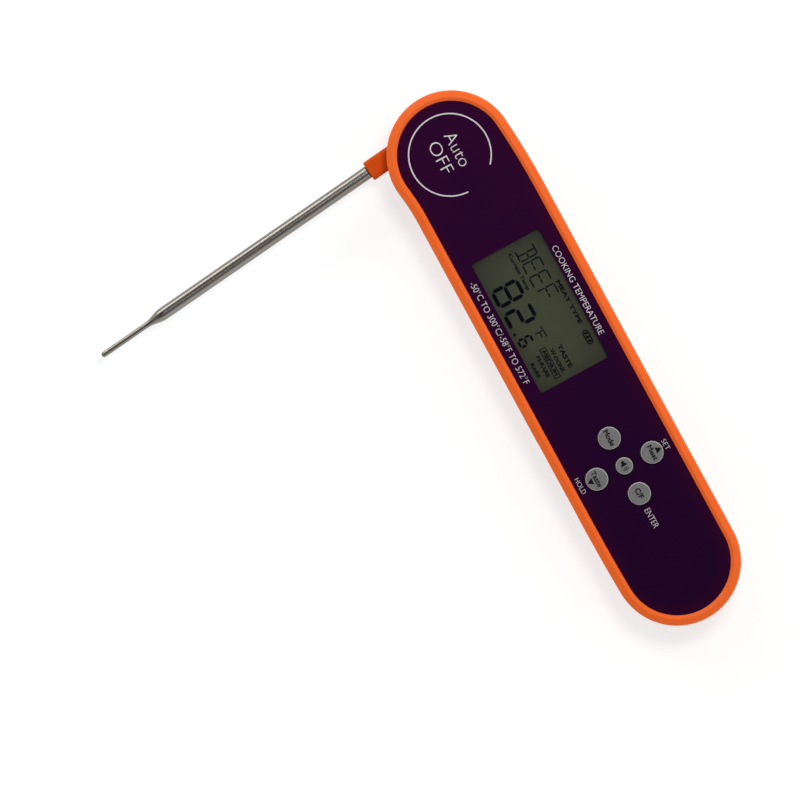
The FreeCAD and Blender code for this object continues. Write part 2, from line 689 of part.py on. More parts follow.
def make_front_shell():
    body = new_body("front_shell")
    outer = pad_outline(body, "front_outline", "parting_height", "rim_height", "0")
    parting = bevel_edges(body, outer, lies_flat("parting_height"), "reveal", "reveal")
    recess = cut_outline(body, "panel_recess", "deck_top", "rim_height", "panel_inset")
    inner = bevel_edges(body, recess, ring_edge(recess, "rim_height", False),
                        "bevel_width", "rim_height - panel_top")
    slope = bevel_edges(body, inner, ring_edge(inner, "rim_height", True), "slope_width", "slope_drop")
    round_edges(body, slope, lies_flat("rim_height - slope_drop"), "rim_rounding")
    cut_outline(body, "front_cavity", "bay_ceiling", "deck_bottom", "wall")
    cut_electronics_bay(body, "parting_height", "parting_height", "bay_ceiling")
    cut_probe_slot(body, "parting_height", "slot_ceiling")
    # the bearing, with its seal on the hub's side
    pad_circles(body, "bearing_boss", "bay_ceiling", "front_bearing_top",
                [("0", "0", "bearing_boss_radius")])
    cut_circles(body, "front_bearing", "slot_ceiling", "front_bearing_top",
                [("0", "0", "bearing_radius")])
    cut_circles(body, "front_seal_seat", "slot_ceiling", "slot_ceiling + seal_seat_depth",
                [("0", "0", "seal_seat_radius")])
    # the deck's openings for the display and the keys
    cut_rectangle(body, "display_opening", "deck_bottom", "deck_top",
                  ("glass_left - glass_gap", "glass_right + glass_gap",
                   "glass_lower - glass_gap", "glass_upper + glass_gap"))
    cut_circles(body, "key_openings", "deck_bottom", "deck_top",
                [(*key_place(name), key_size(name) + " + key_deck_gap") for name in KEYS])
    # screw bosses
    pad_circles(body, "housing_bosses", "parting_height", "deck_bottom",
                [(x, y, "housing_boss_radius") for x, y in HOUSING_SCREWS])
    cut_circles(body, "housing_pilots", "parting_height", "housing_pilot_top",
                [(x, y, "housing_pilot_radius") for x, y in HOUSING_SCREWS])
    pad_circles(body, "board_bosses", "board_top", "deck_bottom",
                [(x, y, "board_boss_radius") for x, y in BOARD_SCREWS])
    cut_circles(body, "board_pilots", "board_top", "board_pilot_top",
                [(x, y, "board_pilot_radius") for x, y in BOARD_SCREWS])


def make_rear_shell():
    body = new_body("rear_shell")
    outer = pad_outline(body, "rear_outline", "0", "parting_height", "0")
    rounded = round_edges(body, outer, lies_flat("0"), "back_rounding")
    bevel_edges(body, rounded, lies_flat("parting_height"), "reveal", "reveal")
    cut_electronics_bay(body, "floor_height", "ledge_top", "parting_height")
    cut_probe_slot(body, "slot_floor", "parting_height")
    cut_circles(body, "rear_seal_seat", "slot_floor - seal_seat_depth", "slot_floor",
                [("0", "0", "seal_seat_radius")])
    cut_circles(body, "rear_bearing", "rear_bearing_floor", "slot_floor",
                [("0", "0", "bearing_radius")])
    cut_circles(body, "thumb_scoop", "0", "slot_floor",
                [("scoop_x", "-(lower_side + scoop_radius - scoop_depth)", "scoop_radius")])
    # screw bosses, holes and counterbores
    pad_circles(body, "rear_bosses", "floor_height", "parting_height",
                [(x, y, "rear_boss_radius") for x, y in HOUSING_SCREWS])
    cut_circles(body, "screw_holes", "0", "parting_height",
                [(x, y, "housing_hole_radius") for x, y in HOUSING_SCREWS])
    cut_circles(body, "screw_seats", "0", "screw_seat",
                [(x, y, "screw_seat_radius") for x, y in HOUSING_SCREWS])
    # battery opening with the bayonet's ledge and its two notches
    tail_y = "upper_side - tail_radius"
    cut_circles(body, "door_seat", "0", "door_thickness + 2 * door_gap",
                [("tail_x", tail_y, "door_radius + door_gap")])
    cut_circles(body, "door_bore", "door_thickness", "ledge_top",
                [("tail_x", tail_y, "neck_radius + door_gap")])
    for side, name in (("-", "lower_notch"), ("+", "upper_notch")):
        cut_circles(body, name, "door_thickness", "ledge_top",
                    [("tail_x", tail_y + side + "lug_circle", "notch_radius")])
    # the cap's dot faces a dot when it is closed and a ring when it is open
    x, y = polar("shell_mark_circle", "180")
    cut_circles(body, "closed_mark", "0", "mark_depth",
                [("tail_x + " + x, tail_y + " + " + y, "mark_radius")])
    x, y = polar("shell_mark_circle", "180 - lug_turn")
    cut_circles(body, "open_mark", "0", "mark_depth",
                [("tail_x + " + x, tail_y + " + " + y, radius)
                 for radius in ("mark_radius", "mark_radius / 2")])
    # rings that hold the magnets
    for x, name in (("first_magnet_x", "first_ring"), ("second_magnet_x", "second_ring")):
        sketch = level_sketch(body, name, "floor_height")
        inside = "back_magnet_radius + magnet_ring_gap"
        circle(sketch, x, "back_magnet_y", inside)
        circle(sketch, x, "back_magnet_y", inside + " + magnet_ring_wall")
        pad(body, sketch, "magnet_ring_height")


def make_housing_screws():
    screws = []
    for x, y in HOUSING_SCREWS:
        head_bottom = "screw_seat - housing_head_height"
        head = cylinder("housing_head", x, y, head_bottom, "screw_seat", "housing_head_radius")
        shank = cylinder("housing_shank", x, y, "screw_seat", "housing_shank_top", "housing_pilot_radius")
        screws.append(cross_recess(fuse("housing_screw", [head, shank]), x, y, head_bottom,
                                   head_bottom + " + housing_recess_depth"))
    keep(group("housing_screws", screws), "housing_screws")


def make_back_magnets():
    magnets = []
    for x in ("first_magnet_x", "second_magnet_x"):
        magnets.append(cylinder("back_magnet", x, "back_magnet_y", "floor_height",
                                "floor_height + back_magnet_height", "back_magnet_radius"))
    keep(group("back_magnets", magnets), "back_magnets")


# ---------------------------------------------------------------------------- panel and display

def window_sides(margin="0"):
    """Left, right, lower and upper side of the display window, moved outwards."""
    return ("window_left - " + margin, "window_right + " + margin,
            "window_lower - " + margin, "window_upper + " + margin)


def round_corners(body, feature, sides, radius):
    left, right, lower, upper = sides
    for x in (left, right):
        for y in (lower, upper):
            feature = round_edges(body, feature, stands_at(x, y), radius)


def make_front_panel():
    body = new_body("front_panel")
    pad_outline(body, "panel_outline", "panel_bottom", "panel_top", "panel_inset + panel_gap")
    opening = cut_rectangle(body, "panel_window", "panel_bottom", "panel_top", window_sides())
    round_corners(body, opening, window_sides(), "window_corner")
    cut_circles(body, "panel_key_holes", "panel_bottom", "panel_top",
                [(*key_place(name), key_size(name) + " + key_panel_gap") for name in KEYS])


def make_display_window():
    body = new_body("display_window")
    pane = pad_rectangle(body, "window_pane", "panel_bottom", "panel_top", window_sides())
    round_corners(body, pane, window_sides(), "window_corner")


def make_panel_adhesive():
    body = new_body("panel_adhesive")
    pad_outline(body, "tape_outline", "deck_top", "panel_bottom", "panel_inset + tape_inset")
    cut_rectangle(body, "tape_window", "deck_top", "panel_bottom",
                  ("glass_left - glass_gap", "glass_right + glass_gap",
                   "glass_lower - glass_gap", "glass_upper + glass_gap"))
    cut_circles(body, "tape_key_holes", "deck_top", "panel_bottom",
                [(*key_place(name), key_size(name) + " + key_panel_gap") for name in KEYS])


def make_display():
    front = box("front_pane", "glass_left", "glass_right", "glass_lower", "glass_upper",
                "glass_middle", "glass_top")
    back = box("back_pane", "glass_left", "glass_right", "glass_lower", "glass_upper - ledge_width",
               "glass_bottom", "glass_middle")
    keep(fuse("lcd_glass", [front, back]), "lcd_glass")
    keep(box("backlight_guide", "glass_left", "glass_right", "glass_lower", "glass_upper - ledge_width",
             "glass_bottom - guide_thickness", "glass_bottom"), "backlight_guide")
    keep(box("zebra_strip", "glass_left + 1", "glass_right - 1", "glass_upper - ledge_width + 0.3",
             "glass_upper - 0.1", "board_top", "glass_middle"), "zebra_strip")
    around = box("frame_outside", "glass_left - frame_width", "glass_right + frame_width",
                 "glass_lower - frame_width", "glass_upper + frame_width", "board_top", "glass_middle")
    inside = box("frame_inside", "glass_left", "glass_right", "glass_lower", "glass_upper",
                 "board_top", "glass_middle")
    keep(cut("lcd_frame", around, inside), "lcd_frame")


# ---------------------------------------------------------------------------- keys and switches

def make_key(name):
    """A key with its flange below the deck."""
    body = new_body(name + "_key")
    place = key_place(name)
    radius = key_size(name)
    flange_top = "flange_bottom + flange_thickness"
    pad_circles(body, name + "_flange", "flange_bottom", flange_top, [(*place, radius + " + key_flange")])
    face = pad_circles(body, name + "_face", flange_top, "key_top", [(*place, radius)])
    round_edges(body, face, lies_flat("key_top"), "key_rounding")


def make_switch(name):
    """A tactile switch on the board, and the plunger that moves with the key."""
    x, y = key_place(name)
    half = "switch_width / 2"
    top = "board_top + switch_height"
    case = box(name + "_case", "%s - %s" % (x, half), "%s + %s" % (x, half),
               "%s - %s" % (y, half), "%s + %s" % (y, half), "board_top", top)
    hole = cylinder(name + "_hole", x, y, "board_top + switch_floor", top,
                    "plunger_radius + plunger_gap")
    keep(cut(name + "_switch", case, hole), name + "_switch")
    plunger = cylinder(name + "_plunger", x, y, "plunger_bottom", "flange_bottom", "plunger_radius")
    keep(plunger, name + "_plunger")


# ---------------------------------------------------------------------------- board

def make_main_board():
    body = new_body("main_board")
    middle = pad_rectangle(body, "board_middle", "board_bottom", "board_top",
                           ("board_left", "board_right", "board_lower", "board_upper"))
    round_corners(body, middle, ("board_left", "board_right", "board_lower", "board_upper"), "board_corner")
    pad_rectangle(body, "head_tongue", "board_bottom", "board_top",
                  ("head_tongue_left", "board_left + board_corner", "head_tongue_lower", "head_tongue_upper"))
    pad_rectangle(body, "tail_tongue", "board_bottom", "board_top",
                  ("board_right - board_corner", "tail_tongue_right",
                   "tail_tongue_lower", "tail_tongue_upper"))
    boss_x, boss_y = HOUSING_SCREWS[2]
    holes = [(x, y, "board_hole_radius") for x, y in BOARD_SCREWS]
    holes.append((boss_x, boss_y, "housing_boss_radius + 0.4"))
    cut_circles(body, "board_holes", "board_bottom", "board_top", holes)


def make_board_parts():
    half = "chip_width / 2"
    keep(box("controller_chip", "chip_x - " + half, "chip_x + " + half, "chip_y - " + half,
             "chip_y + " + half, "board_bottom - chip_height", "board_bottom"), "controller_chip")
    case = cylinder("buzzer_case", "buzzer_x", "buzzer_y", "board_bottom - buzzer_height", "board_bottom",
                    "buzzer_radius")
    hole = cylinder("buzzer_hole", "buzzer_x", "buzzer_y", "board_bottom - buzzer_height",
                    "board_bottom - buzzer_height / 2", "buzzer_hole")
    keep(cut("buzzer", case, hole), "buzzer")
    reed = doc.addObject("Part::Cylinder", "reed_switch")
    bind(reed, {"Radius": "reed_radius", "Height": "reed_length"})
    reed.Placement.Rotation = FreeCAD.Rotation(FreeCAD.Vector(1, 0, 0), -90)
    move(reed, "reed_x", "reed_y", "board_bottom - reed_radius")
    keep(reed, "reed_switch")
    screws = []
    for x, y in BOARD_SCREWS:
        head_bottom = "board_bottom - board_head_height"
        head = cylinder("board_head", x, y, head_bottom, "board_bottom", "board_head_radius")
        shank = cylinder("board_shank", x, y, "board_bottom", "board_shank_top", "board_pilot_radius")
        screws.append(cross_recess(fuse("board_screw", [head, shank]), x, y, head_bottom,
                                   head_bottom + " + board_recess_depth"))
    keep(group("board_screws", screws), "board_screws")


# ---------------------------------------------------------------------------- hinge and probe

def make_hinge_rings():
    ring_circle = "trunnion_radius + seal_gap + seal_radius"
    seat = "seal_seat_depth / 2"
    keep(torus("front_o_ring", "0", "0", "slot_ceiling + " + seat, ring_circle, "seal_radius"),
         "front_o_ring")
    keep(torus("rear_o_ring", "0", "0", "slot_floor - " + seat, ring_circle, "seal_radius"),
         "rear_o_ring")
    levels = (("front_thrust_washer", "slot_ceiling - washer_thickness", "slot_ceiling"),
              ("rear_thrust_washer", "slot_floor", "slot_floor + washer_thickness"))
    for label, bottom, top in levels:
        disc = cylinder(label + "_disc", "0", "0", bottom, top, "washer_outer")
        hole = cylinder(label + "_hole", "0", "0", bottom, top, "washer_inner")
        keep(cut(label, disc, hole), label)


def arm_side_edge(edge):
    """Whether an edge of the unfolded hub is one of the arm's four long edges."""
    span = edge.BoundBox
    straight = span.YLength < TOUCH and span.ZLength < TOUCH
    return straight and abs(span.XMax - number("arm_reach")) < TOUCH


def arm_end_edge(edge):
    """Whether an edge of the unfolded hub is round the arm's end face."""
    return abs(edge.BoundBox.XMin - number("arm_reach")) < TOUCH


def make_hub():
    """The hinge disc, its rear trunnion and the arm that grips the tube."""
    body = new_body("hub")
    pad_circles(body, "hub_disc", "hub_bottom", "hub_top", [("0", "0", "hub_radius")])
    arm = pad_rectangle(body, "arm", "hub_bottom", "hub_top",
                        ("0", "arm_reach", "-(probe_offset + arm_width / 2)",
                         "-(probe_offset - arm_width / 2)"))
    rounded = round_edges(body, arm, arm_side_edge, "arm_rounding")
    round_edges(body, rounded, arm_end_edge, "arm_end_rounding")
    pad_circles(body, "rear_trunnion", "trunnion_low", "hub_bottom", [("0", "0", "trunnion_radius")])
    cut_circles(body, "cover_recess", "cover_bottom", "hub_top", [("0", "0", "cover_radius + cover_gap")])
    cut_circles(body, "lead_room", "chamber_floor", "cover_bottom", [("0", "0", "chamber_radius")])
    cut_rectangle(body, "lead_channel", "chamber_floor", "cover_bottom",
                  ("-chamber_radius", "chamber_radius", "-(probe_offset + chamber_radius)", "0"))
    cut_circles(body, "hub_pilots", "hub_pilot_bottom", "cover_bottom",
                [(*polar("hub_screw_circle", angle), "hub_pilot_radius") for angle in HUB_SCREW_ANGLES])
    cut_circles(body, "magnet_hole", "hub_bottom", "hub_bottom + hub_magnet_depth",
                [("magnet_x", "magnet_y", "hub_magnet_radius")])
    bores = (("tube_socket", "arm_reach", "socket_radius", "socket_depth"),
             ("tube_bore", "arm_reach", "tube_radius", "arm_reach - tube_start + seal_plug_length"),
             ("lead_bore", "tube_start", "lead_hole_radius", "tube_start"))
    for name, x, radius, depth in bores:
        sketch = plane_sketch(body, name, "YZ_Plane", x)
        circle(sketch, "-probe_offset", "probe_height", radius)
        pocket(body, sketch, depth)
    turn_with_probe(body)


def make_hub_cover():
    """The hub's lid, with the hollow front trunnion that the leads come out of."""
    body = new_body("hub_cover")
    pad_circles(body, "cover_disc", "cover_bottom", "hub_top", [("0", "0", "cover_radius")])
    pad_circles(body, "front_trunnion", "hub_top", "trunnion_high", [("0", "0", "trunnion_radius")])
    cut_circles(body, "trunnion_hole", "cover_bottom", "trunnion_high", [("0", "0", "trunnion_bore")])
    places = [polar("hub_screw_circle", angle) for angle in HUB_SCREW_ANGLES]
    cut_circles(body, "cover_holes", "cover_bottom", "hub_top",
                [(*place, "hub_hole_radius") for place in places])
    cut_circles(body, "cover_seats", "hub_head_seat", "hub_top",
                [(*place, "hub_head_radius + cover_gap") for place in places])
    turn_with_probe(body)


def make_hub_screws():
    screws = []
    for angle in HUB_SCREW_ANGLES:
        x, y = polar("hub_screw_circle", angle)
        head_top = "hub_head_seat + hub_head_height"
        head = cylinder("hub_head", x, y, "hub_head_seat", head_top, "hub_head_radius")
        shank = cylinder("hub_shank", x, y, "hub_shank_bottom", "hub_head_seat", "hub_pilot_radius")
        screws.append(cross_recess(fuse("hub_screw", [head, shank]), x, y,
                                   head_top + " - hub_recess_depth", head_top))
    screws = keep(group("hub_screws", screws), "hub_screws")
    turn_with_probe(screws)


def make_hub_magnet():
    magnet = doc.addObject("Part::Cylinder", "hub_magnet")
    bind(magnet, {"Radius": "hub_magnet_radius", "Height": "hub_magnet_depth"})
    turn_with_probe(keep(magnet, "hub_magnet"), "magnet_x", "magnet_y", "hub_bottom")


def tube_line(sketch, start_x, end_x, radius):
    start = FreeCAD.Vector(number(start_x), number(radius))
    end = FreeCAD.Vector(number(end_x), number(radius))
    item = sketch.addGeometry(Part.LineSegment(start, end))
    sketch.addConstraint(Sketcher.Constraint("Horizontal", item))
    return item


def tube_side(sketch, wide, narrow, end_reach):
    """One surface of the tube: straight, eased into the tip by two equal arcs, and rounded off."""
    straight = tube_line(sketch, "tube_start", "taper_start", wide)
    run = number("taper_end - taper_start")
    drop = number(wide) - number(narrow)
    bend = (run ** 2 + drop ** 2) / (4 * drop)
    turn = math.asin(run / 2 / bend)
    quarter = math.pi / 2
    first_center = FreeCAD.Vector(number("taper_start"), number(wide) - bend)
    second_center = FreeCAD.Vector(number("taper_end"), number(narrow) + bend)
    first = sketch.addGeometry(arc(first_center, bend, quarter - turn, quarter))
    second = sketch.addGeometry(arc(second_center, bend, -quarter - turn, -quarter))
    tip = tube_line(sketch, "taper_end", end_reach + " - (%s)" % narrow, narrow)
    end_center = FreeCAD.Vector(number(end_reach) - number(narrow), 0)
    end = sketch.addGeometry(arc(end_center, number(narrow), 0, quarter))
    join_tangent(sketch, (
        ((straight, 2), (first, 2)),
        ((first, 1), (second, 1)),
        ((second, 2), (tip, 1)),
        ((tip, 2), (end, 2)),
    ))
    sketch.addConstraint(Sketcher.Constraint("Equal", first, second))
    sketch.addConstraint(Sketcher.Constraint("PointOnObject", end, 3, -1))
    sketch.addConstraint(Sketcher.Constraint("PointOnObject", end, 1, -1))
    place_point(sketch, straight, 1, "tube_start", wide)
    drive(sketch, "taper_start", "DistanceX", *ORIGIN, straight, 2)
    place_point(sketch, tip, 1, "taper_end", narrow)
    drive(sketch, end_reach, "DistanceX", *ORIGIN, end, 1)
    return straight, end


def make_probe_tube():
    """A closed steel tube, drawn about the X axis, with a groove where the arm ends."""
    body = new_body("probe_tube")
    sketch = plane_sketch(body, "tube_profile", "XY_Plane", "0")
    outer = tube_side(sketch, "tube_radius", "tip_radius", "tip_reach")
    inner = tube_side(sketch, "tube_radius - tube_wall", "tip_radius - tube_wall", "tip_reach - tube_wall")
    for (outer_item, inner_item), point in zip(zip(outer, inner), (1, 1)):
        start = sketch.getPoint(outer_item, point)
        end = sketch.getPoint(inner_item, point)
        link = sketch.addGeometry(Part.LineSegment(start, end))
        sketch.addConstraint(Sketcher.Constraint("Coincident", link, 1, outer_item, point))
        sketch.addConstraint(Sketcher.Constraint("Coincident", link, 2, inner_item, point))
    tube = body.newObject("PartDesign::Revolution", "tube_turning")
    tube.Profile = sketch
    tube.ReferenceAxis = (sketch, ["H_Axis"])
    tube.Angle = 360
    finish(body, tube)
    crimp_start = "arm_reach - socket_depth"
    corners = ((crimp_start, "tube_radius"), (crimp_start + " + crimp_width", "tube_radius"),
               (crimp_start + " + crimp_width / 2", "tube_radius - crimp_depth"))
    sketch = plane_sketch(body, "crimp_profile", "XY_Plane", "0")
    points = [FreeCAD.Vector(number(x), number(radius)) for x, radius in corners]
    sides = [sketch.addGeometry(Part.LineSegment(start, end))
             for start, end in zip(points, points[1:] + points[:1])]
    for side, following, corner in zip(sides, sides[1:] + sides[:1], corners):
        sketch.addConstraint(Sketcher.Constraint("Coincident", side, 2, following, 1))
        place_point(sketch, side, 1, *corner)
    crimp = body.newObject("PartDesign::Groove", "crimp")
    crimp.Profile = sketch
    crimp.ReferenceAxis = (sketch, ["H_Axis"])
    crimp.Angle = 360
    finish(body, crimp)
    turn_with_probe(body, "0", "-probe_offset", "probe_height")


def along_probe(name, start, end, radius):
    """A cylinder on the probe's axis, between two distances from the foot."""
    item = doc.addObject("Part::Cylinder", name)
    bind(item, {"Radius": radius, "Height": "(%s) - (%s)" % (end, start)})
    item.Placement.Rotation = FreeCAD.Rotation(FreeCAD.Vector(0, 1, 0), 90)
    return move(item, start, "0", "0")


def make_probe_filling():
    """The plug behind the tube, and the bead and its filling in the tip."""
    plug = along_probe("plug", "tube_start - seal_plug_length", "tube_start", "tube_radius")
    plug_hole = along_probe("plug_hole", "tube_start - seal_plug_length", "tube_start", "lead_radius")
    turn_with_probe(keep(cut("tube_seal", plug, plug_hole), "tube_seal"),
                    "0", "-probe_offset", "probe_height")
    bead = doc.addObject("Part::Sphere", "thermistor_bead")
    bind(bead, {"Radius": "bead_radius"})
    turn_with_probe(keep(bead, "thermistor_bead"), "bead_x", "-probe_offset", "probe_height")
    filling = along_probe("filling", "epoxy_start", "epoxy_end", "tip_radius - tube_wall")
    lead_hole = along_probe("lead_hole", "epoxy_start", "bead_x", "lead_radius")
    bead_hole = doc.addObject("Part::Sphere", "bead_hole")
    bind(bead_hole, {"Radius": "bead_radius"})
    move(bead_hole, "bead_x", "0", "0")
    turn_with_probe(keep(cut("tip_epoxy", filling, fuse("filling_hole", [lead_hole, bead_hole])),
                         "tip_epoxy"), "0", "-probe_offset", "probe_height")


def make_leads():
    probe_leads = lead("probe_leads", (
        ("bead_x - bead_radius", "-probe_offset", "probe_height"),
        ("0", "-probe_offset", "probe_height"),
        ("0", "0", "probe_height"),
        ("0", "0", "lead_joint"),
    ), "lead_bend")
    turn_with_probe(probe_leads)
    lead("board_leads", (
        ("0", "0", "lead_joint"),
        ("0", "0", "lead_level"),
        ("lead_drop_x", "lead_drop_y", "lead_level"),
        ("lead_drop_x", "lead_drop_y", "board_top"),
    ), "lead_corner")


# ---------------------------------------------------------------------------- battery

def make_battery():
    tail_y = "upper_side - tail_radius"
    body = new_body("battery_cell")
    cell_top = "cell_bottom + cell_height"
    cell = pad_circles(body, "cell_can", "cell_bottom", cell_top, [("tail_x", tail_y, "cell_radius")])
    round_edges(body, cell, lies_flat("cell_bottom"), "cell_edge")
    leaf = box("leaf", "tail_x - contact_width / 2", "tail_x + contact_reach",
               tail_y + " - contact_width / 2", tail_y + " + contact_width / 2",
               cell_top, cell_top + " + contact_thickness")
    riser = box("leaf_riser", "tail_x + contact_reach - contact_thickness", "tail_x + contact_reach",
                tail_y + " - contact_width / 2", tail_y + " + contact_width / 2",
                cell_top, "board_bottom")
    keep(fuse("battery_negative_contact", [leaf, riser]), "battery_negative_contact")
    keep(box("battery_positive_contact", "tail_x - cell_radius - contact_thickness", "tail_x - cell_radius",
             tail_y + " - contact_width / 2", tail_y + " + contact_width / 2",
             "side_contact_bottom", "board_bottom"), "battery_positive_contact")


def make_battery_holder():
    tail_y = "upper_side - tail_radius"
    body = new_body("battery_holder")
    pad_circles(body, "holder_plate", "holder_bottom", "holder_top", [("tail_x", tail_y, "holder_radius")])
    cut_circles(body, "holder_pocket", "holder_bottom", "holder_recess",
                [("tail_x", tail_y, "cell_radius + contact_thickness")])
    posts = []
    for angle in HOLDER_POST_ANGLES:
        x, y = polar("holder_post_circle", angle)
        posts.append(("tail_x + " + x, tail_y + " + " + y, "holder_post_radius"))
    pad_circles(body, "holder_posts", "holder_top", "board_bottom", posts)
    half = "contact_width / 2 + contact_gap"
    slots = (("positive_slot", "tail_x - cell_radius - contact_thickness - contact_gap",
              "tail_x - cell_radius + contact_gap"),
             ("negative_slot", "tail_x - contact_width / 2 - contact_gap",
              "tail_x + contact_reach + contact_gap"))
    for name, left, right in slots:
        cut_rectangle(body, name, "holder_bottom", "holder_top",
                      (left, right, "%s - (%s)" % (tail_y, half), "%s + %s" % (tail_y, half)))


def make_battery_cap():
    """The round door in the back, closed, with its neck, its two lugs and a slot for a coin."""
    tail_y = "upper_side - tail_radius"
    body = new_body("battery_cap")
    plate_top = "door_gap + door_thickness"
    pad_circles(body, "cap_plate", "door_gap", plate_top, [("tail_x", tail_y, "door_radius")])
    pad_circles(body, "cap_neck", plate_top, "neck_top", [("tail_x", tail_y, "neck_radius")])
    for notch_angle, name in (("90", "first_lug"), ("270", "second_lug")):
        x, y = polar("lug_circle", notch_angle + " + lug_turn")
        pad_circles(body, name, "lug_bottom", "neck_top",
                    [("tail_x + " + x, tail_y + " + " + y, "lug_radius")])
    cut_circles(body, "cell_room", plate_top, "neck_top", [("tail_x", tail_y, "neck_bore")])
    groove = level_sketch(body, "seal_groove", plate_top)
    circle(groove, "tail_x", tail_y, "door_seal_circle + seal_groove_width / 2")
    circle(groove, "tail_x", tail_y, "neck_radius + 0.3")
    pocket(body, groove, "seal_groove_depth")
    cut_rectangle(body, "coin_slot", "door_gap", "door_gap + coin_slot_depth",
                  ("tail_x - coin_slot_width / 2", "tail_x + coin_slot_width / 2",
                   tail_y + " - coin_slot_length / 2", tail_y + " + coin_slot_length / 2"))
    x, y = polar("cap_mark_circle", "180")
    cut_circles(body, "cap_mark", "door_gap", "door_gap + mark_depth",
                [("tail_x + " + x, tail_y + " + " + y, "mark_radius")])
    keep(torus("battery_cap_o_ring", "tail_x", tail_y, plate_top + " - door_seal_radius",
               "door_seal_circle", "door_seal_radius"), "battery_cap_o_ring")


# ---------------------------------------------------------------------------- the whole model

def check_document():
    """Stops at the first object that failed, and at a sub-part without a sound shape."""
    for item in doc.Objects:
        if "Invalid" in item.State or "Error" in item.State:
            raise RuntimeError("%s failed" % item.Name)
    for item in nodes:
        if item.Shape.isNull() or not item.Shape.isValid() or not item.Shape.Solids:
            raise RuntimeError("%s has no sound shape" % item.Label)


def export_nodes():
    os.makedirs("parts", exist_ok=True)
    for item in nodes:
        item.Shape.exportStep("parts/%s.step" % item.Label)


make_front_shell()
make_rear_shell()
make_housing_screws()
make_back_magnets()
make_front_panel()
make_display_window()
make_panel_adhesive()
make_display()
for key_name in KEYS:
    make_key(key_name)
    make_switch(key_name)
make_main_board()
make_board_parts()
make_hinge_rings()
make_hub()
make_hub_cover()
make_hub_screws()
make_hub_magnet()
make_probe_tube()
make_probe_filling()
make_leads()
make_battery()
make_battery_holder()
make_battery_cap()
doc.recompute()
check_document()
export_nodes()
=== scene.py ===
# Folding digital meat thermometer: looks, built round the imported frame. Lengths are in metres.
import json
import math

import bmesh
import bpy
from mathutils import Matrix, Vector


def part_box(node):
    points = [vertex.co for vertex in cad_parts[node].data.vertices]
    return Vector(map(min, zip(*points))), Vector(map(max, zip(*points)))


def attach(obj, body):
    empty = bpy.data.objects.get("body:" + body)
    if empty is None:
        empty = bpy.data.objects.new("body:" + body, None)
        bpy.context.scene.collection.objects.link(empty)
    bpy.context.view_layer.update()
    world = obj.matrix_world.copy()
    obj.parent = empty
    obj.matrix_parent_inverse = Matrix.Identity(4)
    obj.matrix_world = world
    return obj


MM = 0.001
PRINT_THICKNESS = 0.03 * MM
CIRCLE_STEPS = 96

# The picture's right and up directions, and the point that it is centred on.
IMAGE_RIGHT = Vector((0.4776, 0.8786, 0.0))
IMAGE_UP = Vector((-0.8786, 0.4776, 0.0))
TARGET = Vector((54.4 * MM, -46.3 * MM, 15.0 * MM))

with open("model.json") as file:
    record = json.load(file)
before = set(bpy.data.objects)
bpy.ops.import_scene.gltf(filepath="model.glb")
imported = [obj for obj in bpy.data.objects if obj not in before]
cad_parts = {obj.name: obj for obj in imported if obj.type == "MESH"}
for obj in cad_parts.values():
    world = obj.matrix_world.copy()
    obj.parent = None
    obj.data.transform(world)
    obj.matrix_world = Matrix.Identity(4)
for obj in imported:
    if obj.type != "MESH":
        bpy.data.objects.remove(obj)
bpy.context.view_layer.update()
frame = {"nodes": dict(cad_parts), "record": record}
panel_low, panel_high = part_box("front_panel")
panel_top = panel_high.z


def middle(node):
    """The middle of a CAD node's box."""
    low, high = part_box(node)
    return (low + high) / 2


# ------------------------------------------------------------------------------- material kit

def srgb(red, green, blue):
    """A colour given as 0 to 255 per channel, made linear."""
    def linear(value):
        value = value / 255
        return value / 12.92 if value <= 0.04045 else ((value + 0.055) / 1.055) ** 2.4
    return (linear(red), linear(green), linear(blue), 1.0)


class Tree:
    """A node tree, with short ways to add and join nodes."""

    def __init__(self, tree):
        self.tree = tree

    def feed(self, socket, value):
        """Joins an output to a socket, or sets the socket to a plain value."""
        if isinstance(value, bpy.types.NodeSocket):
            self.tree.links.new(value, socket)
        else:
            socket.default_value = value

    def add(self, kind, settings=None, **inputs):
        node = self.tree.nodes.new(kind)
        for name, value in (settings or {}).items():
            setattr(node, name, value)
        for name, value in inputs.items():
            self.feed(node.inputs[name.replace("_", " ")], value)
        return node

    def operate(self, kind, operation, *values):
        """A math node that works on values in the order of its sockets."""
        node = self.add(kind, {"operation": operation})
        for socket, value in zip(node.inputs, values):
            self.feed(socket, value)
        return node

    def vector(self, operation, *vectors):
        """Works on one or two vectors; gives a number for a length or a distance."""
        node = self.operate("ShaderNodeVectorMath", operation, *vectors)
        return node.outputs["Value" if operation in ("LENGTH", "DISTANCE") else "Vector"]

    def product(self, first, second):
        return self.operate("ShaderNodeMath", "MULTIPLY", first, second).outputs["Value"]


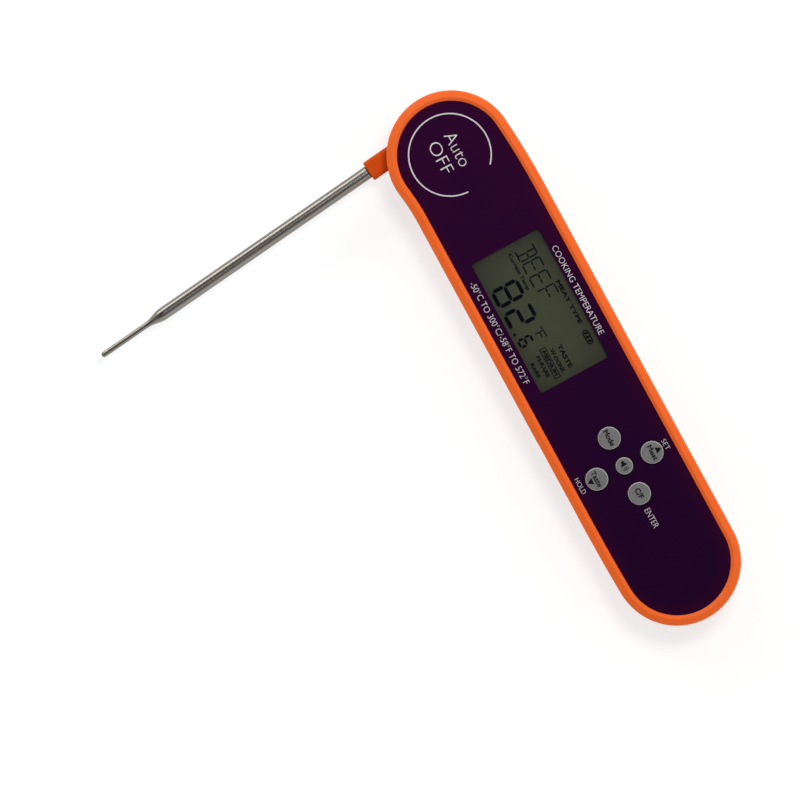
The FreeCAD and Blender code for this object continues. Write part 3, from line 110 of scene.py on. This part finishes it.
class Nodes(Tree):
    """A material's node tree, with its shader and its object coordinates."""

    def __init__(self, name):
        self.material = bpy.data.materials.new(name)
        self.material.use_nodes = True
        super().__init__(self.material.node_tree)
        self.shader = next(n for n in self.tree.nodes if n.type == "BSDF_PRINCIPLED")
        self.place = self.add("ShaderNodeTexCoord").outputs["Object"]

    def link(self, output, name):
        self.tree.links.new(output, self.shader.inputs[name])

    def set(self, **values):
        for name, value in values.items():
            self.shader.inputs[name.replace("_", " ")].default_value = value

    def stretched(self, stretch, turn=0.0):
        """Object coordinates, turned about Z and scaled along each axis."""
        turned = self.add("ShaderNodeMapping", Vector=self.place, Rotation=(0, 0, turn))
        return self.add("ShaderNodeMapping", Vector=turned.outputs[0], Scale=stretch).outputs[0]

    def noise(self, scale, detail=3.0, roughness=0.55, place=None):
        node = self.add("ShaderNodeTexNoise", Vector=place or self.place, Scale=scale, Detail=detail,
                        Roughness=roughness)
        return node.outputs["Fac"]

    def ramp(self, value, low, high, start=0.3, end=0.7):
        """Blends two colours as a value goes from start to end."""
        node = self.add("ShaderNodeValToRGB", Fac=value)
        first, last = node.color_ramp.elements
        first.position, first.color = start, low
        last.position, last.color = end, high
        return node.outputs["Color"]

    def range(self, value, low, high, start=0.3, end=0.7):
        """Goes from low to high as a value goes from start to end."""
        node = self.add("ShaderNodeMapRange", Value=value, From_Min=start, From_Max=end, To_Min=low,
                        To_Max=high)
        return node.outputs["Result"]

    def mix(self, share, low, high):
        node = self.add("ShaderNodeMix", {"data_type": "RGBA"})
        values = {"Factor": share, "A": low, "B": high}
        for socket in node.inputs:
            if socket.enabled and socket.name in values:
                self.feed(socket, values[socket.name])
        return next(o for o in node.outputs if o.enabled)

    def bump(self, height, strength, distance):
        node = self.add("ShaderNodeBump", Height=height, Strength=strength, Distance=distance)
        self.link(node.outputs["Normal"], "Normal")

    def axis(self, name):
        return self.add("ShaderNodeSeparateXYZ", Vector=self.place).outputs[name]


def shade(red, green, blue, factor):
    """An srgb colour made lighter or darker by a factor."""
    return tuple(channel * factor for channel in srgb(red, green, blue)[:3]) + (1.0,)


def plastic(name, colour, roughness, grain=2200.0, depth=0.02 * MM, spread=0.08, **settings):
    """Moulded plastic: a fine mould texture, faint mottling and uneven gloss."""
    nodes = Nodes(name)
    mottle = nodes.noise(90.0, detail=4.0)
    low = shade(*colour, 1.0 - spread)
    high = shade(*colour, 1.0 + spread)
    nodes.link(nodes.ramp(mottle, low, high), "Base Color")
    handled = nodes.noise(240.0, detail=5.0)
    nodes.link(nodes.range(handled, roughness - 0.06, roughness + 0.06), "Roughness")
    nodes.bump(nodes.noise(grain, detail=2.0), 0.35, depth)
    nodes.set(**settings)
    return nodes.material


def metal(name, colour, roughness, stretch=(1.0, 1.0, 1.0)):
    """Metal with a drawn or brushed finish along the axis that is stretched least."""
    nodes = Nodes(name)
    streaks = nodes.noise(1800.0, detail=4.0, place=nodes.stretched(stretch))
    nodes.link(nodes.ramp(streaks, shade(*colour, 0.86), shade(*colour, 1.1)), "Base Color")
    nodes.link(nodes.range(streaks, roughness - 0.07, roughness + 0.09), "Roughness")
    nodes.bump(streaks, 0.25, 0.01 * MM)
    nodes.set(Metallic=1.0)
    return nodes.material


# Painted shade on the deck round the keys, standing for the shade in the gaps round them: where it fades
# out across, and below the panel's underside.
KEY_GAP_SHADE_CENTER = "sound_key"
KEY_GAP_SHADE_EDGE = (13.6 * MM, 13.8 * MM)
KEY_GAP_SHADE_DEPTH = (3.0 * MM, 2.9 * MM)
KEY_GAP_SHADE_TOP_FADE = 0.05 * MM


def orange_plastic(name, colour, specular):
    """Satin orange shells: fine spark texture, faint clouding, and painted shade: the deck is turned
    near-black round the keys, for the shade in the gaps round them.
    """
    nodes = Nodes(name)
    base = nodes.ramp(nodes.noise(90.0, detail=4.0), shade(*colour, 0.98), shade(*colour, 1.02))
    center = middle(KEY_GAP_SHADE_CENTER)
    flat = nodes.vector("MULTIPLY", nodes.place, (1, 1, 0))
    away = nodes.vector("DISTANCE", flat, (center.x, center.y, 0))
    near = nodes.range(away, 1.0, 0.0, *KEY_GAP_SHADE_EDGE)
    underside = panel_low.z
    under = nodes.range(nodes.axis("Z"), 1.0, 0.0, underside - KEY_GAP_SHADE_TOP_FADE, underside + KEY_GAP_SHADE_TOP_FADE)
    above = nodes.range(nodes.axis("Z"), 0.0, 1.0, *(underside - depth for depth in KEY_GAP_SHADE_DEPTH))
    # painted shade: near-black on the deck round the keys, where the gaps round the keys lie in shade
    key_gap_shade = nodes.product(nodes.product(near, under), above)
    nodes.link(nodes.mix(key_gap_shade, base, srgb(14, 10, 14)), "Base Color")
    nodes.link(nodes.range(nodes.noise(240.0, detail=5.0), 0.40, 0.50), "Roughness")
    nodes.bump(nodes.noise(2600.0, detail=2.0), 0.35, 0.015 * MM)
    nodes.set(Specular_IOR_Level=specular)
    return nodes.material


def panel_gloss():
    """The polished panel, printed dark from behind: warmer at the head, with a painted reflection of the
    orange rim all round its edge.
    """
    nodes = Nodes("panel_gloss")
    along = nodes.range(nodes.axis("X"), 0.0, 1.0, panel_low.x, panel_high.x)
    base = nodes.ramp(along, srgb(43, 8, 42), srgb(30, 6, 36), 0.0, 1.0)
    center_y = (panel_low.y + panel_high.y) / 2
    half = (panel_high.y - panel_low.y) / 2
    first = Vector((panel_low.x + half, center_y, 0))
    last = Vector((panel_high.x - half, center_y, 0))
    spine = nodes.vector("MINIMUM", nodes.vector("MAXIMUM", nodes.place, first), last)
    outward = nodes.vector("MULTIPLY", nodes.vector("SUBTRACT", nodes.place, spine), (1, 1, 0))
    # painted reflection: the panel's edge is tinted red, standing for the orange rim mirrored in the gloss
    edge = nodes.range(nodes.vector("LENGTH", outward), 0.0, 0.6, half * 0.74, half)
    base = nodes.mix(edge, base, srgb(52, 7, 34))
    cloud = nodes.range(nodes.noise(35.0, detail=2.0), 0.0, 0.22)
    nodes.link(nodes.mix(cloud, base, srgb(24, 5, 40)), "Base Color")
    nodes.link(nodes.range(nodes.noise(160.0, detail=5.0), 0.05, 0.11), "Roughness")
    nodes.bump(nodes.noise(120.0, detail=1.0), 0.04, 0.02 * MM)
    nodes.set(Specular_IOR_Level=0.0, Coat_Weight=0.28, Coat_Roughness=0.06)
    return nodes.material


def window_clear():
    """The clear window: almost all of the light goes through."""
    nodes = Nodes("window_clear")
    nodes.link(nodes.ramp(nodes.noise(60.0), srgb(12, 14, 10), srgb(18, 20, 16)), "Base Color")
    nodes.link(nodes.range(nodes.noise(200.0, detail=5.0), 0.03, 0.08), "Roughness")
    nodes.set(Alpha=0.06, Specular_IOR_Level=0.4)
    return nodes.material


def lcd_ground():
    """The display's grey-green ground, with painted shade making it darker towards its edges, where the
    window's opening shades the glass.
    """
    nodes = Nodes("lcd_ground")
    low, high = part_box("display_window")
    center = middle("display_window")
    reach = (high - low) / 2
    place = nodes.add("ShaderNodeMapping", Vector=nodes.place,
                      Location=(-center.x / reach.x, -center.y / reach.y, 0),
                      Scale=(1 / reach.x, 1 / reach.y, 0))
    wider = nodes.add("ShaderNodeMapping", Vector=place.outputs[0], Scale=(0.62, 0.62, 0.62))
    # painted shade: the ground is lighter in the middle and darker towards the edges of the window
    window_shade_falloff = nodes.add("ShaderNodeTexGradient", {"gradient_type": "SPHERICAL"}, Vector=wider.outputs[0])
    base = nodes.ramp(window_shade_falloff.outputs["Fac"], srgb(50, 52, 40), srgb(64, 67, 47), 0.05, 0.75)
    nodes.link(nodes.mix(nodes.range(nodes.noise(500.0), 0.0, 0.12), base, srgb(60, 66, 58)), "Base Color")
    nodes.link(nodes.range(nodes.noise(300.0), 0.42, 0.52), "Roughness")
    nodes.bump(nodes.noise(2500.0), 0.1, 0.004 * MM)
    nodes.set(Specular_IOR_Level=0.12)
    return nodes.material


def key_plastic():
    """Painted keys: a fine mould texture, and a painted highlight, lighter round the rounded edge of the
    face where it turns down from the top.
    """
    nodes = Nodes("key_plastic")
    face = nodes.ramp(nodes.noise(900.0), srgb(92, 92, 92), srgb(99, 99, 98))
    normal = nodes.add("ShaderNodeNewGeometry").outputs["Normal"]
    facing_up = nodes.add("ShaderNodeSeparateXYZ", Vector=normal).outputs["Z"]
    # painted highlight: the colour gets lighter where the normal turns away from straight up, round the
    # key's edge
    edge_highlight = nodes.range(facing_up, 1.0, 0.0, 0.72, 0.985)
    nodes.link(nodes.mix(edge_highlight, face, srgb(176, 176, 172)), "Base Color")
    nodes.link(nodes.range(nodes.noise(240.0, detail=5.0), 0.26, 0.38), "Roughness")
    nodes.bump(nodes.noise(3200.0, detail=2.0), 0.35, 0.02 * MM)
    nodes.set(Specular_IOR_Level=0.45)
    return nodes.material


def ink(name, colour, roughness, spread=0.12, specular=0.2):
    """Printed ink or a display segment: slightly uneven cover."""
    return plastic(name, colour, roughness=roughness, grain=5000.0, depth=0.004 * MM, spread=spread,
                   Specular_IOR_Level=specular)


def steel_tube():
    """Drawn stainless tube, polished lengthwise with faint streaks."""
    shaft = next(mount for mount in frame["record"]["mounts"] if mount["name"] == "probe_shaft")
    lie = math.atan2(shaft["axis"][1], shaft["axis"][0])
    nodes = Nodes("steel_tube")
    along = nodes.stretched((0.004, 1.0, 1.0), -lie)
    streaks = nodes.noise(2600.0, place=along)
    nodes.link(nodes.ramp(streaks, srgb(124, 119, 112), srgb(150, 145, 139)), "Base Color")
    nodes.link(nodes.range(streaks, 0.20, 0.34), "Roughness")
    nodes.bump(streaks, 0.12, 0.008 * MM)
    nodes.set(Metallic=1.0)
    return nodes.material


MATERIALS = {
    "orange_plastic": orange_plastic("orange_plastic", (230, 94, 18), 0.25),
    # painted shade: the hub gets a darker, duller copy of the same orange plastic, because it lies in shade
    "hub_shaded_orange": orange_plastic("hub_shaded_orange", (197, 72, 1), 0.06),
    "panel_plastic": panel_gloss(),
    "window_plastic": window_clear(),
    "display_glass": lcd_ground(),
    "key_plastic": key_plastic(),
    "black_plastic": plastic("black_plastic", (32, 32, 33), roughness=0.55),
    "white_plastic": plastic("white_plastic", (226, 226, 220), roughness=0.4),
    "tape": plastic("tape", (38, 38, 38), roughness=0.8, grain=1500.0),
    "board_laminate": plastic("board_laminate", (22, 92, 52), roughness=0.35, grain=900.0),
    "silicone": plastic("silicone", (40, 40, 42), roughness=0.6, grain=1200.0),
    "washer_plastic": plastic("washer_plastic", (222, 220, 210), roughness=0.35),
    "steel": metal("steel", (190, 188, 184), roughness=0.28),
    "magnet": metal("magnet", (200, 200, 202), roughness=0.18),
    "spring_brass": metal("spring_brass", (214, 186, 110), roughness=0.28, stretch=(0.1, 1.0, 1.0)),
    "lead_jacket": plastic("lead_jacket", (214, 210, 202), roughness=0.5),
    "reed_glass": plastic("reed_glass", (120, 150, 120), roughness=0.12),
    "epoxy": plastic("epoxy", (40, 32, 28), roughness=0.25),
    "probe_steel": steel_tube(),
    "silver_print": ink("silver_print", (196, 190, 191), roughness=0.38),
    "black_print": ink("black_print", (9, 9, 10), roughness=0.6, specular=0.06),
    "segment": ink("segment", (6, 8, 18), roughness=0.7, spread=0.2, specular=0.03),
}


def dress_frame():
    """Gives every CAD node its material."""
    # the hub takes the darker copy of the orange plastic, which is painted shade
    own = {"probe_tube": "probe_steel", "hub": "hub_shaded_orange"}
    slots = {part["node"]: part["material_slot"] for part in frame["record"]["subparts"]}
    for name, node in frame["nodes"].items():
        node.data.materials.clear()
        node.data.materials.append(MATERIALS[own.get(name, slots[name])])


# ------------------------------------------------------------------------------- flat shapes
# Outlines are in millimetres, and heights in metres.

def oval(center, radius, start=0.0, end=2 * math.pi, steps=CIRCLE_STEPS):
    """Points along a circle's arc."""
    angles = [start + (end - start) * i / steps for i in range(steps + 1)]
    return [center + Vector((math.cos(angle), math.sin(angle))) * radius for angle in angles]


def bar(start, end, width):
    """A display segment: a bar with pointed ends."""
    along = (end - start).normalized() * width / 2
    across = Vector((-along.y, along.x))
    return [start, start + along + across, end - along + across, end, end - along - across,
            start + along - across]


def stroke(points, width):
    """A line of even width through points, with square ends."""
    left, right = [], []
    for index, point in enumerate(points):
        before = points[max(index - 1, 0)]
        after = points[min(index + 1, len(points) - 1)]
        along = (after - before).normalized()
        across = Vector((-along.y, along.x)) * width / 2
        left.append(point + across)
        right.append(point - across)
    return [[left[i], left[i + 1], right[i + 1], right[i]] for i in range(len(points) - 1)]


def frame_bars(x0, x1, y0, y1, width):
    """A thin rectangular border."""
    corners = [Vector(c) for c in ((x0, y0), (x1, y0), (x1, y1), (x0, y1))]
    bars = []
    for start, end in zip(corners, corners[1:] + corners[:1]):
        along = (end - start).normalized() * width / 2
        bars += stroke([start - along, end + along], width)
    return bars


def prism(mesh, outline, bottom, height):
    """Adds a flat plate of one outline to a bmesh."""
    points = outline if signed_area(outline) > 0 else outline[::-1]
    low = [mesh.verts.new((p.x * MM, p.y * MM, bottom)) for p in points]
    high = [mesh.verts.new((p.x * MM, p.y * MM, bottom + height)) for p in points]
    mesh.faces.new(high)
    mesh.faces.new(low[::-1])
    count = len(points)
    for i in range(count):
        j = (i + 1) % count
        mesh.faces.new((low[i], low[j], high[j], high[i]))


def signed_area(points):
    """The area inside an outline, positive when it runs anticlockwise."""
    pairs = zip(points, points[1:] + points[:1])
    return sum(a.x * b.y - b.x * a.y for a, b in pairs) / 2


def embolden(mesh, weight):
    """Moves extruded lettering's outlines outwards, with the corners' reach limited."""
    moves = []
    for vertex in mesh.verts:
        walls = []
        for face in vertex.link_faces:
            normal = face.normal.xy
            if abs(face.normal.z) < 0.5 and all(normal.dot(other) < 0.9999 for other in walls):
                walls.append(normal.normalized())
        if len(walls) < 2:
            move = walls[0] if walls else Vector((0, 0))
        else:
            total = walls[0] + walls[1]
            move = total / max(1 + walls[0].dot(walls[1]), 0.05)
            move = move.normalized() * min(move.length, 1.5)
        moves.append((vertex, move * weight))
    for vertex, move in moves:
        vertex.co.xy += move


def letters(mesh, text, sides, bottom, height, weight=0.0):
    """Adds generic lettering, fitted to left, right, lower and upper sides in millimetres."""
    left, right, lower, upper = sides
    data = bpy.data.curves.new("lettering", "FONT")
    data.body = text
    data.extrude = 0.5
    data.resolution_u = 6
    shown = bpy.data.objects.new("lettering", data)
    bpy.context.scene.collection.objects.link(shown)
    bpy.context.view_layer.update()
    shape = bpy.data.meshes.new_from_object(shown.evaluated_get(bpy.context.evaluated_depsgraph_get()))
    bold = bmesh.new()
    bold.from_mesh(shape)
    bmesh.ops.remove_doubles(bold, verts=bold.verts, dist=1e-5)
    bmesh.ops.recalc_face_normals(bold, faces=bold.faces)
    bold.normal_update()
    embolden(bold, weight)
    bold.to_mesh(shape)
    bold.free()
    low = Vector([min(v.co[i] for v in shape.vertices) for i in range(3)])
    high = Vector([max(v.co[i] for v in shape.vertices) for i in range(3)])
    size = high - low
    for vertex in shape.vertices:
        share = [(vertex.co[i] - low[i]) / size[i] for i in range(3)]
        vertex.co = ((left + (right - left) * share[0]) * MM, (lower + (upper - lower) * share[1]) * MM,
                     bottom + height * share[2])
    mesh.from_mesh(shape)
    bpy.data.objects.remove(shown)
    bpy.data.curves.remove(data)
    bpy.data.meshes.remove(shape)


def piece(name, mesh, material, body):
    """Turns a bmesh into a flat-shaded piece that rides on a body."""
    bmesh.ops.recalc_face_normals(mesh, faces=mesh.faces)
    data = bpy.data.meshes.new(name)
    mesh.to_mesh(data)
    mesh.free()
    for face in data.polygons:
        face.use_smooth = False
    data.materials.append(MATERIALS[material])
    item = bpy.data.objects.new(name, data)
    bpy.context.scene.collection.objects.link(item)
    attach(item, body)


# ------------------------------------------------------------------------------- panel printing
# Words are (text, (left, right, lower, upper), weight), in millimetres.

RING_CENTER = Vector((-0.3, -0.35))
RING_RADIUS = 11.8
RING_LINE = 0.38
RING_START, RING_END = math.radians(48), math.radians(358)


def panel_print():
    """The ring round the hinge, and the generic words printed on the panel."""
    mesh = bmesh.new()
    for quad in stroke(oval(RING_CENTER, RING_RADIUS, RING_START, RING_END), RING_LINE):
        prism(mesh, quad, panel_top, PRINT_THICKNESS)
    words = (
        ("Auto", (-5.9, 4.4, 0.6, 4.15), -0.016),
        ("OFF", (-5.6, 3.95, -4.8, -1.2), -0.016),
        ("COOKING TEMPERATURE", (36.8, 65.3, 12.5, 14.25), -0.014),
        ("-50°C TO 300°C/-58°F TO 572°F", (34.8, 67.6, -13.1, -11.2), -0.014),
        ("SET", (100.2, 103.4, 13.6, 15.0), -0.02),
        ("HOLD", (98.2, 103.0, -13.5, -12.1), -0.02),
        ("ENTER", (115.4, 121.3, -0.1, 1.6), -0.02),
    )
    for text, sides, weight in words:
        letters(mesh, text, sides, panel_top, PRINT_THICKNESS, weight)
    piece("panel_print", mesh, "silver_print", "handle")


# ------------------------------------------------------------------------------- display

SEVEN = {"2": "abged", "6": "acdefg", "8": "abcdefg"}
STARBURST = {"B": "abcdilh", "E": "adefgh", "F": "aefgh"}
LETTER_BAR = 0.42
DIGIT_BAR = 1.12
TENTHS_BAR = 0.72
SIGN_LINE = 0.34


def digit(sides, width, lit):
    """The lit bars of one seven- or fourteen-segment digit."""
    left, right, lower, upper = sides
    mid_x = (left + right) / 2
    mid_y = (lower + upper) / 2
    inset = width / 2
    x0, x1, y0, y1 = left + inset, right - inset, lower + inset, upper - inset
    split = any(name in lit for name in "hil")
    ends = {
        "a": ((x0, y1), (x1, y1)),
        "b": ((x1, mid_y), (x1, y1)),
        "c": ((x1, y0), (x1, mid_y)),
        "d": ((x0, y0), (x1, y0)),
        "e": ((x0, y0), (x0, mid_y)),
        "f": ((x0, mid_y), (x0, y1)),
        "g": ((x0, mid_y), (mid_x if split else x1, mid_y)),
        "h": ((mid_x, mid_y), (x1, mid_y)),
        "i": ((mid_x, mid_y), (mid_x, y1)),
        "l": ((mid_x, y0), (mid_x, mid_y)),
    }
    bars = []
    for name in lit:
        start, end = (Vector(point) for point in ends[name])
        gap = (end - start).normalized() * (0.06 + width * 0.1)
        bars.append(bar(start + gap, end - gap, width))
    return bars


def battery_sign():
    """A rounded cell with three slanted bars."""
    left, right, lower, upper = 62.9, 65.5, 8.6, 10.2
    center_y, radius = 9.4, 0.8
    quarter = math.pi / 2
    shapes = stroke([Vector((left, lower)), Vector((right, lower))], SIGN_LINE)
    shapes += stroke([Vector((left, upper)), Vector((right, upper))], SIGN_LINE)
    shapes += stroke(oval(Vector((right, center_y)), radius, -quarter, quarter, 16), SIGN_LINE)
    shapes += stroke(oval(Vector((left, center_y)), radius, quarter, 3 * quarter, 16), SIGN_LINE)
    for x in (63.0, 64.2, 65.4):
        shapes += stroke([Vector((x - 0.2, 8.95)), Vector((x + 0.2, 9.85))], 0.7)
    return shapes


def display_readout():
    """Everything that the display shows, just above its glass."""
    mesh = bmesh.new()
    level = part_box("lcd_glass")[1].z + 0.01 * MM
    shapes = []
    for letter, left, right in (("B", 32.7, 36.5), ("E", 37.1, 40.6), ("E", 41.3, 44.9), ("F", 45.8, 49.4)):
        shapes += digit((left, right, 2.5, 8.4), LETTER_BAR, STARBURST[letter])
    shapes += digit((39.5, 45.4, -9.1, -0.3), DIGIT_BAR, SEVEN["8"])
    shapes += digit((46.9, 52.6, -9.1, -0.3), DIGIT_BAR, SEVEN["2"])
    shapes += digit((55.4, 58.3, -9.1, -4.5), TENTHS_BAR, SEVEN["6"])
    # the decimal point
    shapes.append(oval(Vector((53.7, -8.65)), 0.45, steps=24)[:-1])
    # the unit: F from an upright and two arms, and its degree ring
    shapes += stroke([Vector((56.4, -3.4)), Vector((56.4, -0.6))], SIGN_LINE)
    for y, reach in ((-0.77, 58.5), (-2.05, 58.0)):
        shapes += stroke([Vector((56.65, y)), Vector((reach, y))], SIGN_LINE)
    shapes += stroke(oval(Vector((55.6, -0.9)), 0.32, steps=20), 0.16)
    shapes += battery_sign()
    # the border round MEDIUM
    shapes += frame_bars(61.0, 70.3, -4.5, -2.75, 0.24)
    for outline in shapes:
        prism(mesh, outline, level, PRINT_THICKNESS)
    captions = (
        ("Current Temp", (32.7, 44.3, 0.2, 1.6), 0.032),
        ("MEAT TYPE", (45.9, 59.9, 8.95, 10.15), 0.042),
        ("TASTE", (62.2, 69.6, 0.45, 1.75), 0.042),
        ("W-DONE", (62.2, 69.6, -2.0, -0.8), 0.038),
        ("MEDIUM", (61.7, 69.6, -4.2, -3.05), 0.04),
        ("M-RARE", (62.2, 69.0, -6.45, -5.25), 0.038),
        ("RARE", (63.2, 67.9, -8.85, -7.7), 0.038),
    )
    for text, sides, weight in captions:
        letters(mesh, text, sides, level, PRINT_THICKNESS, weight)
    piece("display_readout", mesh, "segment", "handle")


# ------------------------------------------------------------------------------- key legends

def key_legend(name, words, shapes):
    """The black legend on one key, placed from the key's centre."""
    mesh = bmesh.new()
    center = middle(name + "_key")
    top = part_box(name + "_key")[1].z
    x, y = center.x / MM, center.y / MM
    for outline in shapes:
        prism(mesh, [Vector((x, y)) + Vector(point) for point in outline], top, PRINT_THICKNESS)
    for text, (left, right, lower, upper), weight in words:
        letters(mesh, text, (x + left, x + right, y + lower, y + upper), top, PRINT_THICKNESS, weight)
    piece(name + "_legend", mesh, "black_print", name + "_key")


def key_legends():
    up_arrow = [(-0.9, 1.2), (1.1, 1.2), (0.1, 2.95)]
    down_arrow = [(-1.1, -1.25), (0.9, -1.25), (-0.1, -2.95)]
    key_legend("mode", [("Mode", (-2.5, 2.35, -0.8, 0.8), 0.032)], [])
    key_legend("up", [("Meat", (-2.15, 2.45, -0.7, 0.85), 0.026)], [up_arrow])
    key_legend("down", [("Taste", (-2.5, 2.3, -0.8, 0.75), 0.026)], [down_arrow])
    key_legend("unit", [("C/F", (-1.6, 1.5, -0.85, 0.85), 0.033)], [])
    horn = [(-1.45, -0.4), (-0.9, -0.4), (0.0, -1.1), (0.0, 1.1), (-0.9, 0.4), (-1.45, 0.4)]
    waves = []
    for radius in (0.8, 1.35):
        waves += stroke(oval(Vector((-0.1, 0)), radius, -0.7, 0.7, 12), 0.28)
    key_legend("sound", [], [horn] + waves)


# ------------------------------------------------------------------------------- stage

CAMERA_LENS = 600.0
CAMERA_SENSOR = 36.0
VIEW_WIDTH = 228.6 * MM
LIGHT_DISTANCE = 1.2


def pale_floor():
    bpy.ops.mesh.primitive_plane_add(size=6.0, location=(0.05, -0.03, -0.0002))
    floor = bpy.context.object
    floor.name = "floor"
    nodes = Nodes("floor_white")
    nodes.link(nodes.ramp(nodes.noise(3.0), (0.43, 0.37, 0.365, 1), (0.45, 0.39, 0.385, 1)), "Base Color")
    nodes.set(Roughness=0.9, Specular_IOR_Level=0.0, Emission_Color=(0.9, 1.0, 1.0, 1.0),
              Emission_Strength=0.67)
    floor.data.materials.append(nodes.material)


def camera_above():
    """The camera looks straight down, from so far off that the view is almost parallel."""
    camera = bpy.data.objects.new("camera", bpy.data.cameras.new("camera"))
    bpy.context.scene.collection.objects.link(camera)
    camera.data.lens = CAMERA_LENS
    camera.data.sensor_width = CAMERA_SENSOR
    camera.data.clip_end = 10.0
    distance = VIEW_WIDTH / CAMERA_SENSOR * CAMERA_LENS
    turn = Matrix((IMAGE_RIGHT, IMAGE_UP, Vector((0, 0, 1)))).transposed().to_4x4()
    camera.matrix_world = Matrix.Translation(TARGET + Vector((0, 0, distance))) @ turn
    bpy.context.scene.camera = camera


def softbox(name, heading, lean, size, power, colour=(1.0, 1.0, 1.0)):
    """An area light that leans, in degrees, from straight above towards a heading in the picture."""
    data = bpy.data.lights.new(name, "AREA")
    data.shape = "RECTANGLE"
    data.size, data.size_y = size
    data.energy = power
    data.color = colour
    light = bpy.data.objects.new(name, data)
    bpy.context.scene.collection.objects.link(light)
    heading = math.radians(heading)
    lean = math.radians(lean)
    side = IMAGE_RIGHT * math.cos(heading) + IMAGE_UP * math.sin(heading)
    light.location = TARGET + (side * math.sin(lean) + Vector((0, 0, math.cos(lean)))) * LIGHT_DISTANCE
    light.rotation_mode = "QUATERNION"
    light.rotation_quaternion = (TARGET - light.location).to_track_quat("-Z", "Y")


def sky():
    """White low down, almost black overhead, and brighter towards the picture's right."""
    world = bpy.data.worlds.new("studio")
    bpy.context.scene.world = world
    world.use_nodes = True
    tree = Tree(world.node_tree)
    background = world.node_tree.nodes["Background"]
    place = tree.add("ShaderNodeTexCoord").outputs["Generated"]
    height = tree.add("ShaderNodeSeparateXYZ", Vector=place).outputs["Z"]
    fade = tree.add("ShaderNodeValToRGB", Fac=height)
    across = tree.operate("ShaderNodeVectorMath", "DOT_PRODUCT", place, IMAGE_RIGHT * 0.35)
    lift = tree.operate("ShaderNodeMath", "ADD", across.outputs["Value"], 1.0)
    scaled = tree.add("ShaderNodeVectorMath", {"operation": "SCALE"}, Vector=fade.outputs["Color"],
                      Scale=lift.outputs["Value"])
    tree.feed(background.inputs["Color"], scaled.outputs["Vector"])
    background.inputs["Strength"].default_value = 0.9
    first, last = fade.color_ramp.elements
    first.position, first.color = 0.55, (1.0, 1.0, 1.0, 1)
    last.position, last.color = 0.97, (0.012, 0.012, 0.014, 1)
    fade.color_ramp.elements.new(0.87).color = (0.2, 0.2, 0.2, 1)


def studio():
    """Plain pale floor, soft light, and the camera straight above."""
    pale_floor()
    camera_above()
    softbox("key_light", 60, 19, (0.3, 0.3), 6.2)
    softbox("edge_light", 125, 66, (0.9, 0.3), 4.0, (1.0, 0.99, 0.95))
    sky()
    bpy.context.scene.view_settings.view_transform = "Standard"


dress_frame()
panel_print()
display_readout()
key_legends()
studio()
